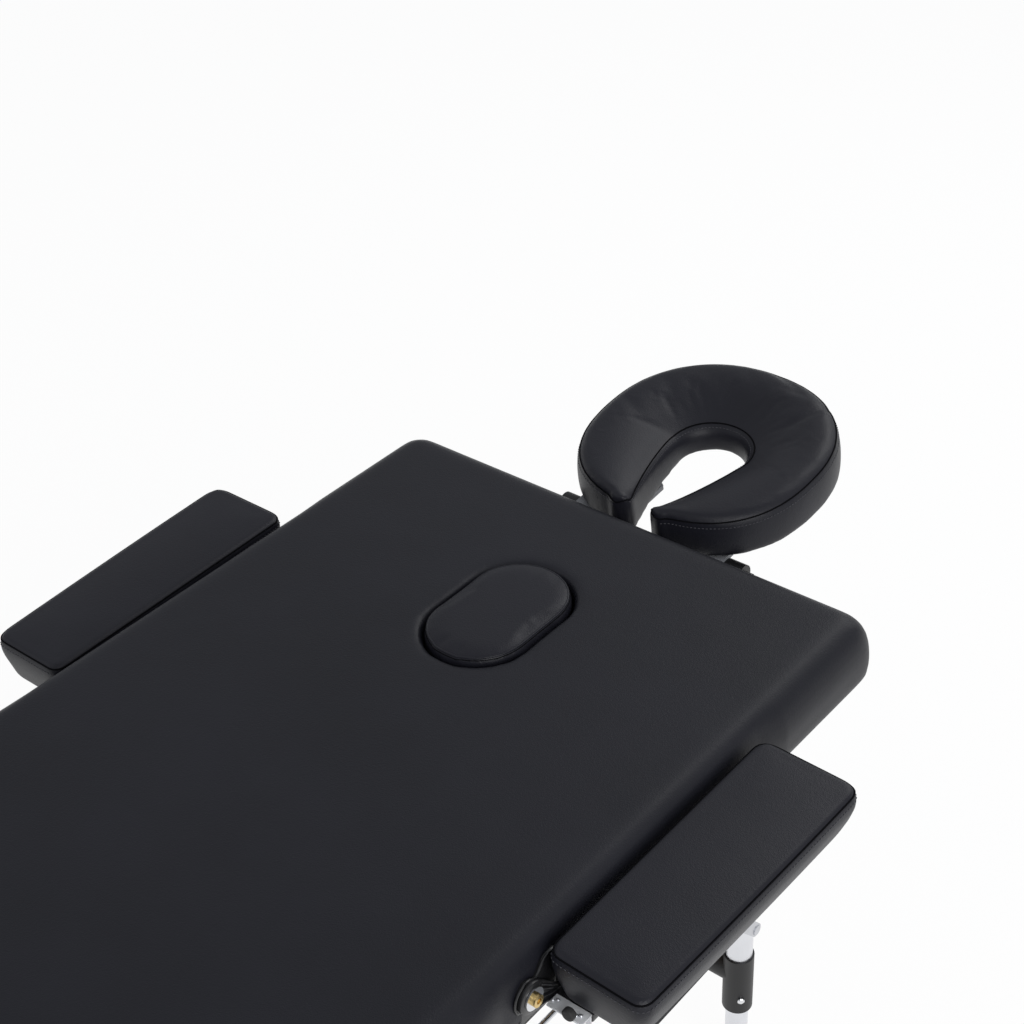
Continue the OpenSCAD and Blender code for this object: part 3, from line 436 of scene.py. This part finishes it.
for side in ("right", "left"):
    low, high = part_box("armrest_cushion_" + side)
    middle = (low + high) / 2
    middle.x -= math.copysign(arm_shift, middle.x)
    half = (high - low) / 2
    arm_foot = foot_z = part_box("armrest_board_" + side)[0].z + board_wrap
    top = high.z - 0.0032
    rest = block("armrest_pad_" + side, (middle.x - half.x, low.y, foot_z),
                 (middle.x + half.x, high.y, top))
    round_edges(rest, lambda a, b: abs(a.z - b.z) > upright_min, arm_corner, 6)
    take(rest)
    bpy.ops.object.mode_set(mode="EDIT")
    bpy.ops.mesh.select_mode(type="EDGE")
    bpy.ops.mesh.select_all(action="DESELECT")
    mesh = bmesh.from_edit_mesh(rest.data)
    for edge in mesh.edges:
        edge.select_set(abs(edge.verts[0].co.z - edge.verts[1].co.z) > upright_min)
    bmesh.update_edit_mesh(rest.data)
    bpy.ops.mesh.subdivide(number_cuts=11)
    bpy.ops.object.mode_set(mode="OBJECT")
    for v in rest.data.vertices:
        inset = drawn((v.co.z - foot_z) / (top - foot_z))
        v.co.x = middle.x + (v.co.x - middle.x) * (1 - inset / half.x)
        v.co.y = middle.y + (v.co.y - middle.y) * (1 - end_tuck * inset / half.y)
    round_edges(rest, lambda a, b: min(a.z, b.z) > top - slight, 0.003, 2)
    seam_z = top - seam_drop

    def armrest_freedom(p):
        inside = min(half.x - abs(p.x - middle.x), half.y - abs(p.y - middle.y))
        if p.z < seam_z - 0.001:
            from_foot = min(1.0, max(0.0, (p.z - foot_z - 0.012) / 0.012))
            return 0.5 * from_foot * min(1.0, (seam_z - p.z) / 0.008)
        return min(1.0, max(0.04, (inside - 0.003) / 0.016))

    swell(rest, arm_cell, arm_swell, armrest_freedom)
    for v in rest.data.vertices:
        v.co = settled(v.co, side)
    rest.data.materials.append(sewn_vinyl)
    seam = loop_2d(2 * half.x - 0.005, 2 * half.y - 0.005, arm_corner - 0.002, middle, seam_z)
    seam = [settled(p, side) for p in seam]
    # A near-black line along the seam paints the shade in the seam's crease.
    seam_line = tube("armrest_seam_" + side, lay_on(rest, seam, 0.0002), seam_r)
    seam_line.data.materials.append(painted_seam_shade)
    lower = loop_2d(2 * half.x + 0.002, 2 * half.y + 0.002, arm_corner, middle,
                    seam_z - stitch_drop)
    lower = [settled(p, side) for p in lower]
    row = stitches("armrest_stitches_" + side, lay_on(rest, lower, 0.0002),
                   stitch_pitch, stitch_long, stitch_thick)
    row.data.materials.append(top_thread)
    for piece in (rest, seam_line, row):
        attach(piece, "armrest_" + side)
    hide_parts("armrest_cushion_" + side)


# The cradle cushion: a horseshoe of foam with a top panel sewn to an outer and an inner band.
# A round section is spun most of the way round, closed at both tips, then drawn to its outline,
# high outside and dipping to the opening.
back_shape = [(-0.98, 0.00), (-1.05, 0.07), (-1.06, 0.30), (-0.98, 0.50), (-0.80, 0.60),
              (-0.40, 0.74), (0.10, 0.90), (0.50, 0.99), (0.84, 0.96), (1.02, 0.80),
              (1.07, 0.42), (1.05, 0.08), (0.96, 0.00), (0.00, 0.00)]
end_shape = [(-0.96, 0.00), (-1.03, 0.07), (-1.00, 0.40), (-0.96, 0.80), (-0.80, 0.93),
             (-0.40, 0.99), (0.10, 1.00), (0.60, 0.99), (0.88, 0.94), (1.03, 0.76),
             (1.07, 0.40), (1.05, 0.08), (0.96, 0.00), (0.00, 0.00)]
tip_size, tip_shift = [(0.56,), (0.80,), (0.94,), (1.0,)], [(0.0095,), (0.0080,), (0.0044,), (0.0,)]
cradle_w, cradle_l, cradle_h, cradle_rise = 0.2772, 0.2775, 0.0565, 0.0061
opening_w, mouth_l, outer_start, inner_start = 0.0833, 0.1549, 78.3, 60.3
cradle_turn = math.radians(5.5)
axle = Vector((0, 0.833455, 0.5477))
cradle_mid = Vector((0.0034, 0.94585, 0.564))
rounds, slices = 28, 90
tip_steps, sections, inner_power, spun_r, cradle_cell = 3, 15, 1.29, 0.09, 0.0042
creases = [((0.006, 1.070), (0.046, 1.058), 0.005, 0.0022),
           ((0.030, 1.052), (0.060, 1.050), 0.006, 0.0014),
           ((0.066, 0.995), (0.092, 1.052), 0.007, 0.0022),
           ((-0.128, 0.951), (-0.090, 0.934), 0.008, 0.0011),
           ((-0.100, 1.000), (-0.070, 0.975), 0.008, 0.0007)]


def bent(v, power):
    return math.copysign(abs(v) ** (2 / power), v)


def shaped(u, v, grow=0.0):
    """A point of the cover: u runs from tip to tip, v round the section from the inner foot."""
    side, e = (1 if u < 0.5 else -1), 2 * sections * min(u, 1 - u)
    t = max(0.0, (e - tip_steps) / (sections - tip_steps))
    outer = math.radians(-outer_start + (90 + outer_start) * t)
    inner = math.radians(-inner_start + (90 + inner_start) * t)
    full = 2.18 if outer > 0 else 2.44
    o = Vector((cradle_w / 2 * bent(math.cos(outer), full),
                cradle_l / 2 * bent(math.sin(outer), full)))
    if inner < 0:
        n = Vector((opening_w / 2 * bent(math.cos(inner), inner_power),
                    mouth_l * bent(math.sin(inner), inner_power)))
    else:
        n = Vector((opening_w / 2 * math.cos(inner), opening_w / 2 * math.sin(inner)))
    back, size = min(1.0, e / 8), between(tip_size, e / tip_steps)[0]
    a, b = between(back_shape + back_shape[:1], v), between(end_shape + end_shape[:1], v)
    p = [x * back + y * (1 - back) for x, y in zip(a, b)]
    away = Vector((o.y - n.y, n.x - o.x)).normalized() * between(tip_shift, e / tip_steps)[0]
    spot = (o + n) / 2 + away + (o - n) / 2 * (size * p[0] * (1 + grow) - 0.3 * (1 - size))
    high = cradle_h + cradle_rise * (spot.y + 0.13) / 0.26
    return Vector((side * spot.x, spot.y, high * (0.5 + (p[1] - 0.5) * (size + 4) / 5)))


def tilted(p):
    """From the cushion's own place to where it lies, tilted about the axle."""
    q = p + cradle_mid - axle
    return axle + Matrix.Rotation(cradle_turn, 3, "X") @ q


bpy.ops.object.select_all(action="DESELECT")
bpy.ops.mesh.primitive_circle_add(vertices=rounds, radius=0.02, location=(spun_r, 0, 0),
                                  rotation=(math.pi / 2, 0, 0))
cradle = bpy.context.object
cradle.name = cradle.data.name = "cradle_pad"
bpy.ops.object.transform_apply(location=True, rotation=True, scale=True)
turn_all, from_inner_foot = math.radians(320), math.radians(60)
bpy.ops.object.mode_set(mode="EDIT")
bpy.ops.mesh.select_all(action="SELECT")
bpy.ops.mesh.spin(steps=slices, angle=turn_all, center=(0, 0, 0), axis=(0, 0, 1))
bpy.ops.mesh.select_all(action="SELECT")
bpy.ops.mesh.fill_holes(sides=rounds + 1)
bpy.ops.object.mode_set(mode="OBJECT")
places = []
for vert in cradle.data.vertices:
    angle = -math.atan2(vert.co.y, vert.co.x) % (2 * math.pi)
    if angle > turn_all + 0.02:
        angle = 0.0 if angle > (turn_all + 2 * math.pi) / 2 else turn_all
    out = math.hypot(vert.co.x, vert.co.y) - spun_r
    around = (math.atan2(vert.co.z, -out) + from_inner_foot) % (2 * math.pi)
    places.append((min(1.0, angle / turn_all), around / (2 * math.pi)))
for vert, (u, v) in zip(cradle.data.vertices, places):
    vert.co = tilted(shaped(u, v, -0.005))
take(cradle)
bpy.ops.object.mode_set(mode="EDIT")
bpy.ops.mesh.select_all(action="SELECT")
bpy.ops.mesh.normals_make_consistent(inside=False)
bpy.ops.object.mode_set(mode="OBJECT")
outer_v, inner_v, tip_u = 8.7 / 14, 3.8 / 14, 0.03
run, across, nearby = 220, 20, range(-3, 4)
outer_run = [tilted(shaped(k / run, outer_v)) for k in range(run + 1)]
inner_run = [tilted(shaped(1 - k / run, inner_v)) for k in range(run + 1)]
sharp = outer_run + [outer_run[-1].lerp(inner_run[0], k / across) for k in range(1, across)]
sharp += inner_run + [inner_run[-1].lerp(outer_run[0], k / across) for k in range(1, across)]
cradle_loop = [sum((sharp[(i + k) % len(sharp)] for k in nearby), Vector()) / len(nearby)
               for i in range(len(sharp))]
seam_points = cradle_loop[::4]


def cradle_freedom(p):
    near = min((p - q).length for q in seam_points)
    local = Matrix.Rotation(-cradle_turn, 3, "X") @ (p - axle)
    height = local.z - (cradle_mid.z - axle.z)
    return min(1.0, max(0.0, (near - 0.002) / 0.016)) * min(1.0, max(0.0, (height - 0.003) / 0.012))


swell(cradle, cradle_cell, 0.005, cradle_freedom)
for start, finish, wide, deep in creases:
    a, b = Vector(start), Vector(finish)
    for vert in cradle.data.vertices:
        along = max(0.0, min(1.0, (vert.co.xy - a).dot(b - a) / (b - a).length_squared))
        off = (vert.co.xy - a.lerp(b, along)).length / wide
        if off < 3 and vert.normal.z > 0.3:
            depth = deep * math.sin(math.pi * (0.15 + 0.7 * along)) * math.exp(-off * off)
            vert.co.z -= depth * vert.normal.z
cradle.data.materials.append(sewn_vinyl)
# A near-black line along the seam paints the shade in the seam's crease.
cradle_seam = tube("cradle_seam", lay_on(cradle, cradle_loop, 0.0002), seam_r)
cradle_seam.data.materials.append(painted_seam_shade)
rows = []
for name, row_v in (("cradle_outer_stitches", 9.15 / 14), ("cradle_inner_stitches", 3.35 / 14)):
    line = [tilted(shaped(tip_u + (1 - 2 * tip_u) * k / run, row_v, 0.02)) for k in range(run + 1)]
    row = stitches(name, lay_on(cradle, line, 0.0002), stitch_pitch, stitch_long, stitch_thick,
                   closed=False)
    row.data.materials.append(top_thread)
    rows.append(row)
for piece in (cradle, cradle_seam, *rows):
    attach(piece, "cradle_head")
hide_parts("cradle_cushion")


# Frames and legs: drawn aluminium rails and tubes, satin from anodising, with faint draw lines
# along them.
def metal(name, dark, light, rough, scale, stretch=(1, 1, 1), metallic=1.0):
    """Metal whose tone and roughness change along fine lines."""
    finish, nodes, links, shader, spot = new_finish(name)
    lay = add(nodes, "ShaderNodeMapping", {"Scale": stretch})
    links.new(spot, lay.inputs["Vector"])
    lines = add(nodes, "ShaderNodeTexNoise", {"Scale": scale, "Detail": 4.0})
    cloud = add(nodes, "ShaderNodeTexNoise", {"Scale": 22.0, "Detail": 3.0})
    links.new(lay.outputs["Vector"], lines.inputs["Vector"])
    links.new(spot, cloud.inputs["Vector"])
    links.new(ramp(nodes, links, cloud.outputs["Fac"], dark, light), shader.inputs["Base Color"])
    links.new(span(nodes, links, lines.outputs["Fac"], rough - 0.08, rough + 0.1),
              shader.inputs["Roughness"])
    bump = add(nodes, "ShaderNodeBump", {"Strength": 0.12, "Distance": 0.0002})
    links.new(lines.outputs["Fac"], bump.inputs["Height"])
    links.new(bump.outputs["Normal"], shader.inputs["Normal"])
    shader.inputs["Metallic"].default_value = metallic
    return finish


def dress(finish, *nodes):
    for node in nodes:
        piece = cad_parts[node]
        piece.data.materials.clear()
        piece.data.materials.append(finish)
        take(piece)
        bpy.ops.object.shade_smooth_by_angle(angle=math.radians(35))


rail_metal = metal("rail_aluminium", (0.62, 0.63, 0.65), (0.7, 0.71, 0.73), 0.34, 300.0,
                   (1, 0.02, 1))
tube_metal = metal("tube_aluminium", (0.68, 0.69, 0.72), (0.76, 0.77, 0.8), 0.3, 300.0,
                   (1, 1, 0.02))
dress(rail_metal, "head_side_rails", "head_end_rails", "tail_side_rails", "tail_end_rails")
dress(tube_metal, "head_leg_tubes", "tail_leg_tubes", "head_cross_tube", "tail_cross_tube",
      "lower_leg_head_right", "lower_leg_head_left", "lower_leg_tail_right", "lower_leg_tail_left")


# Pressed and turned steel: zinc-plated brackets, hinges and folding stays, brighter bolts, rods
# and buttons, and the grey-painted plate of the cradle.
zinc_metal = metal("zinc_plated_steel", (0.5, 0.51, 0.53), (0.62, 0.63, 0.66), 0.36, 120.0)
bright_metal = metal("bright_plated_steel", (0.66, 0.67, 0.69), (0.74, 0.75, 0.77), 0.2, 160.0)
brass_metal = metal("brass", (0.62, 0.45, 0.18), (0.76, 0.58, 0.27), 0.24, 160.0)
plate_paint = metal("grey_painted_plate", (0.2, 0.205, 0.22), (0.26, 0.265, 0.28), 0.5, 500.0,
                    metallic=0.0)
dress(zinc_metal, "head_brackets", "tail_brackets", "head_hinge_leaves", "tail_hinge_leaves",
      "head_upper_stays", "head_lower_stays", "tail_upper_stays", "tail_lower_stays")
dress(bright_metal, "head_pivot_bolts", "tail_pivot_bolts", "hinge_pins", "head_truss_rods",
      "tail_truss_rods", "armrest_washers", "cradle_posts", "button_head_right",
      "button_head_left", "button_tail_right", "button_tail_left", "armrest_plate_right",
      "armrest_plate_left")
dress(brass_metal, "armrest_bolts")
dress(plate_paint, "cradle_plate")


# Black mouldings: nylon leg sleeves, post sockets, cradle uprights and lever, and the softer
# rubber feet. They keep their own meshes and take a fine spark-etched surface.
def moulding(name, dark, light, rough, texture):
    """Moulded plastic or rubber with a fine spark-etched surface."""
    finish, nodes, links, shader, spot = new_finish(name)
    cloud = add(nodes, "ShaderNodeTexNoise", {"Scale": 40.0, "Detail": 3.0})
    etch = add(nodes, "ShaderNodeTexNoise", {"Scale": texture, "Detail": 2.0})
    links.new(spot, cloud.inputs["Vector"])
    links.new(spot, etch.inputs["Vector"])
    links.new(ramp(nodes, links, cloud.outputs["Fac"], dark, light), shader.inputs["Base Color"])
    links.new(span(nodes, links, cloud.outputs["Fac"], rough - 0.05, rough + 0.08),
              shader.inputs["Roughness"])
    bump = add(nodes, "ShaderNodeBump", {"Strength": 0.3, "Distance": 0.0002})
    links.new(etch.outputs["Fac"], bump.inputs["Height"])
    links.new(bump.outputs["Normal"], shader.inputs["Normal"])
    return finish


nylon = moulding("black_nylon", (0.0045, 0.0045, 0.005), (0.008, 0.008, 0.009), 0.46, 900.0)
gloss_nylon = moulding("glossy_black_nylon", (0.008, 0.008, 0.009), (0.013, 0.013, 0.014), 0.24,
                       500.0)
rubber = moulding("foot_rubber", (0.012, 0.012, 0.012), (0.022, 0.022, 0.022), 0.7, 700.0)
dress(nylon, "post_sockets", "head_t_joints", "tail_t_joints", "cradle_uprights", "cradle_lever")
dress(rubber, "foot_head_right", "foot_head_left", "foot_tail_right", "foot_tail_left")


# The armrest mounts: glossy black mouldings screwed to the edges of the head half. Each is a plate
# with a round hub, a foot under the board and a raised rim, which forms a pocket by the armrest.
washer_low, washer_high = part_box("armrest_washers")
hub_y, hub_z = (washer_low.y + washer_high.y) / 2, (washer_low.z + washer_high.z) / 2
mount_in, mount_out, foot_in = mount_high.x - 0.0034, mount_high.x, 0.0335
hub_r, rim_r, foot_y = 0.0175, 0.0013, (-0.0112, 0.036)


def arc(radius, first, last, step):
    """Points round the hub, by angles in degrees, in y and z."""
    turns = [math.radians(a) for a in range(first, last, step)]
    return [(radius * math.cos(a), radius * math.sin(a)) for a in turns]


hub_side = arc(hub_r, 130, 236, 7)
lip = [(0.0360, 0.0262), (0.0262, 0.0262), (0.0222, 0.0252), (0.0186, 0.0222), (0.0140, 0.0172),
       (0.0098, 0.0128), (0.0062, 0.0134), (0.0020, 0.0160), (-0.0050, 0.0172)]
outline = lip + hub_side + [(foot_y[0], -0.0306), (foot_y[1], -0.0306)]
rim_line = (lip + hub_side)[1:-3]


def extruded(name, points, x0, x1, soft):
    """A flat outline in y and z about the hub, drawn out across x, with softened edges."""
    bpy.ops.object.select_all(action="DESELECT")
    bpy.ops.mesh.primitive_circle_add(vertices=len(points), radius=0.02, fill_type="NGON")
    made = bpy.context.object
    made.name = made.data.name = name
    for vert, (y, z) in zip(made.data.vertices, points):
        vert.co = (x0, hub_y + y, hub_z + z)
    bpy.ops.object.mode_set(mode="EDIT")
    bpy.ops.mesh.select_all(action="SELECT")
    bpy.ops.mesh.extrude_region_move(TRANSFORM_OT_translate={"value": (x1 - x0, 0, 0)})
    bpy.ops.mesh.select_all(action="SELECT")
    bpy.ops.mesh.normals_make_consistent(inside=False)
    bpy.ops.object.mode_set(mode="OBJECT")
    press(made, "BEVEL", width=soft, segments=2, limit_method="ANGLE")
    return made


def joined(name, pieces, finish, angle=40):
    """One object out of several, smooth-shaded up to an angle, with its material."""
    take(*pieces)
    if len(pieces) > 1:
        bpy.ops.object.join()
    whole = bpy.context.object
    whole.name = whole.data.name = name
    bpy.ops.object.shade_smooth_by_angle(angle=math.radians(angle))
    whole.data.materials.append(finish)
    return whole


mounts = []
for x_sign in (1, -1):
    mounts.append(extruded("mount_plate", outline, x_sign * mount_in, x_sign * mount_out, 0.0008))
    inner, outer = sorted((x_sign * (mount_out - foot_in), x_sign * mount_out))
    foot = block("mount_foot", (inner, hub_y + foot_y[0], mount_low.z),
                 (outer, hub_y + foot_y[1], mount_low.z + 0.004))
    press(foot, "BEVEL", width=0.0006, segments=2)
    mounts.append(foot)
    mounts.append(tube("mount_rim", [Vector((x_sign * mount_out, hub_y + y, hub_z + z))
                                     for y, z in rim_line], rim_r, closed=False))
mount = joined("armrest_mouldings", mounts, gloss_nylon)
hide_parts("armrest_mounts")
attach(mount, "head_half")


# The armrest arms: glossy black mouldings that turn on the mounts' bolts. Each is a disc with a
# ribbed arm, which runs into a tongue under the armrest's board, with a steel strap and a stop.
arm_in, disc_t, disc_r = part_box("armrest_arm_right")[0].x, 0.0044, 0.016
tongue_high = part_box("armrest_arm_right")[1]
arm_outline = arc(disc_r, 50, 311, 10) + [
    (0.0190, -0.0236), (0.0420, -0.0276), (0.0420, -0.0186), (0.0360, -0.0150), (0.0290, -0.0075)]
rib_r, rib_lines = 0.0017, [
    ((0.0100, 0.0085), (0.0240, -0.0045)), ((0.0120, 0.0015), (0.0310, -0.0135)),
    ((0.0115, -0.0075), (0.0370, -0.0200)), ((0.0080, -0.0150), (0.0380, -0.0262))]
tongue_y, tongue_z = hub_y + 0.0270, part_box("armrest_arm_right")[0].z + 0.004
tongue_t, strap_low, strap_high, strap_reach = 0.009, 0.0071, 0.0089, 0.0135
screw_r, screw_places = 0.0019, [
    (0.0116, -0.0045), (0.0080, -0.0070), (0.0367, -0.0062), (0.0335, -0.0085)]
stop_r, stop_l, stop_at = 0.0060, 0.007, (0.0307, -0.0141, 0.0149)
strap_metal = metal("galvanised_strap", (0.62, 0.63, 0.65), (0.74, 0.75, 0.77), 0.5, 120.0,
                    metallic=0.25)


for side, x_sign in (("right", 1), ("left", -1)):
    disc_out = x_sign * (arm_in + disc_t)
    disc = extruded("arm_disc", arm_outline, x_sign * arm_in, disc_out, 0.0009)
    ribs = [tube("arm_rib", [Vector((disc_out, hub_y + y, hub_z + z)) for y, z in line],
                 rib_r, closed=False) for line in rib_lines]
    x0, x1 = sorted((x_sign * arm_in, x_sign * tongue_high.x))
    tongue = block("arm_tongue", (x0, tongue_y, tongue_z), (x1, tongue_high.y, tongue_z + tongue_t))
    press(tongue, "BEVEL", width=0.0012, segments=3)
    arm = joined("armrest_moulded_arm_" + side, [disc, tongue] + ribs, gloss_nylon)
    x0, x1 = sorted((x_sign * (arm_in + 0.0062), x_sign * (tongue_high.x - 0.001)))
    strap = block("armrest_strap_" + side, (x0, tongue_y - strap_reach, tongue_z + strap_low),
                  (x1, tongue_y + 0.004, tongue_z + strap_high))
    press(strap, "BEVEL", width=0.0004, segments=2)
    face = block("strap_face", (x0, tongue_y - 0.0016, tongue_z - 0.004),
                 (x1, tongue_y - 0.0001, tongue_z + 0.0072))
    press(face, "BEVEL", width=0.0004, segments=2)
    strap = joined("armrest_strap_" + side, [strap, face], strap_metal)
    heads = []
    for x, y in screw_places:
        bpy.ops.object.select_all(action="DESELECT")
        place = (x_sign * (arm_in + x), tongue_y + y, tongue_z + 0.0092)
        bpy.ops.mesh.primitive_uv_sphere_add(segments=16, ring_count=8, radius=screw_r,
                                             location=place)
        heads.append(bpy.context.object)
        bpy.ops.object.transform_apply(location=True, rotation=True, scale=True)
        bpy.ops.object.shade_smooth()
    screws = joined("armrest_screws_" + side, heads, zinc_metal, 60)
    bpy.ops.object.select_all(action="DESELECT")
    place = (x_sign * (arm_in + stop_at[0]), tongue_y + stop_at[1], tongue_z + stop_at[2])
    bpy.ops.mesh.primitive_cylinder_add(vertices=32, radius=stop_r, depth=stop_l,
                                        rotation=(math.pi / 2, 0, 0), location=place)
    stop = bpy.context.object
    bpy.ops.object.transform_apply(location=True, rotation=True, scale=True)
    press(stop, "BEVEL", width=0.0018, segments=4, limit_method="ANGLE")
    stop = joined("armrest_stop_" + side, [stop], rubber)
    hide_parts("armrest_arm_" + side)
    for piece, slot in ((arm, "black_plastic"), (strap, "bright_steel"),
                        (screws, "zinc_steel"), (stop, "rubber_foot")):
        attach(piece, "armrest_" + side)


# Boards: pale poplar plywood under the halves, and thin board with a black lining cloth under
# the armrests.
def plywood(name, dark, light):
    finish, nodes, links, shader, spot = new_finish(name)
    lay = add(nodes, "ShaderNodeMapping", {"Scale": (9.0, 0.9, 9.0)})
    links.new(spot, lay.inputs["Vector"])
    grain = add(nodes, "ShaderNodeTexNoise", {"Scale": 4.0, "Detail": 8.0, "Distortion": 1.4})
    pores = add(nodes, "ShaderNodeTexNoise", {"Scale": 160.0, "Detail": 3.0})
    links.new(lay.outputs["Vector"], grain.inputs["Vector"])
    links.new(lay.outputs["Vector"], pores.inputs["Vector"])
    links.new(ramp(nodes, links, grain.outputs["Fac"], dark, light), shader.inputs["Base Color"])
    links.new(span(nodes, links, pores.outputs["Fac"], 0.55, 0.75), shader.inputs["Roughness"])
    bump = add(nodes, "ShaderNodeBump", {"Strength": 0.2, "Distance": 0.0003})
    links.new(pores.outputs["Fac"], bump.inputs["Height"])
    links.new(bump.outputs["Normal"], shader.inputs["Normal"])
    return finish


poplar = plywood("poplar_plywood", (0.43, 0.29, 0.16), (0.6, 0.44, 0.27))
lining = moulding("black_lining", (0.012, 0.012, 0.013), (0.024, 0.024, 0.026), 0.85, 1600.0)
dress(poplar, "head_board", "tail_board")
dress(lining, "armrest_board_right", "armrest_board_left")


# The floor, the lamps and the camera: a white floor that keeps the object's shadow, three soft
# lamps, and the camera's place and turn as recovered from the photo.
bpy.ops.object.select_all(action="DESELECT")
bpy.ops.mesh.primitive_plane_add(size=30, location=(0, 0, 0))
floor = bpy.context.object
floor.name = "floor"
white = bpy.data.materials.new("floor_white")
white.use_nodes = True
tree = white.node_tree
tree.nodes.clear()
out = tree.nodes.new("ShaderNodeOutputMaterial")
paint = add(tree.nodes, "ShaderNodeBsdfDiffuse", {"Color": (0.5, 0.5, 0.5, 1)})
glow = add(tree.nodes, "ShaderNodeEmission", {"Color": (1, 1, 1, 1), "Strength": 1.08})
path = tree.nodes.new("ShaderNodeLightPath")
seen = add(tree.nodes, "ShaderNodeMath", operation="MAXIMUM")
share = add(tree.nodes, "ShaderNodeMath", {1: 0.86}, operation="MULTIPLY")
blend = tree.nodes.new("ShaderNodeMixShader")
tree.links.new(path.outputs["Is Camera Ray"], seen.inputs[0])
tree.links.new(path.outputs["Is Glossy Ray"], seen.inputs[1])
tree.links.new(seen.outputs[0], share.inputs[0])
tree.links.new(share.outputs[0], blend.inputs["Fac"])
tree.links.new(paint.outputs["BSDF"], blend.inputs[1])
tree.links.new(glow.outputs["Emission"], blend.inputs[2])
tree.links.new(blend.outputs["Shader"], out.inputs["Surface"])
floor.data.materials.append(white)

world = bpy.data.worlds.new("studio")
bpy.context.scene.world = world
world.use_nodes = True
sky = world.node_tree
sky.nodes.clear()
sky_out = sky.nodes.new("ShaderNodeOutputWorld")
soft = add(sky.nodes, "ShaderNodeBackground", {"Color": (0.93, 0.95, 1.0, 1), "Strength": 0.52})
plain = add(sky.nodes, "ShaderNodeBackground", {"Color": (1, 1, 1, 1), "Strength": 1.0})
sky_path = sky.nodes.new("ShaderNodeLightPath")
sky_mix = sky.nodes.new("ShaderNodeMixShader")
sky.links.new(sky_path.outputs["Is Camera Ray"], sky_mix.inputs["Fac"])
sky.links.new(soft.outputs["Background"], sky_mix.inputs[1])
sky.links.new(plain.outputs["Background"], sky_mix.inputs[2])
sky.links.new(sky_mix.outputs["Shader"], sky_out.inputs["Surface"])

for name, place, aim, size, power in (
        ("key_lamp", (3.05, -0.85, 2.05), (0.2, 0.1, 0.6), 2.2, 74),
        ("fill_lamp", (-2.2, -1.6, 3.0), (0, 0, 0.6), 2.4, 10),
        ("back_lamp", (0.3, 3.2, 2.6), (0, 0.4, 0.6), 2.0, 30)):
    lamp = bpy.data.lights.new(name, "AREA")
    lamp.shape = "SQUARE"
    lamp.size = size
    lamp.energy = power
    held = bpy.data.objects.new(name, lamp)
    bpy.context.scene.collection.objects.link(held)
    held.location = place
    held.rotation_euler = (Vector(aim) - Vector(place)).to_track_quat("-Z", "Y").to_euler()

pitch, yaw, roll = math.radians(34.53), math.radians(-40.77), math.radians(-2.88)
ahead = Vector((math.sin(yaw) * math.cos(pitch), math.cos(yaw) * math.cos(pitch), -math.sin(pitch)))
level = ahead.cross(Vector((0, 0, 1))).normalized()
upright = level.cross(ahead)
right = math.cos(roll) * level + math.sin(roll) * upright
above_right = -math.sin(roll) * level + math.cos(roll) * upright
lens = bpy.data.cameras.new("camera")
lens.sensor_width = 36
lens.lens = 1867.4 / 1024 * 36
camera = bpy.data.objects.new("camera", lens)
bpy.context.scene.collection.objects.link(camera)
camera.matrix_world = Matrix.Translation((0.98094, -0.537865, 1.74749)) @ Matrix(
    (right, above_right, -ahead)).transposed().to_4x4()
bpy.context.scene.camera = camera
bpy.context.scene.view_settings.view_transform = "Standard"
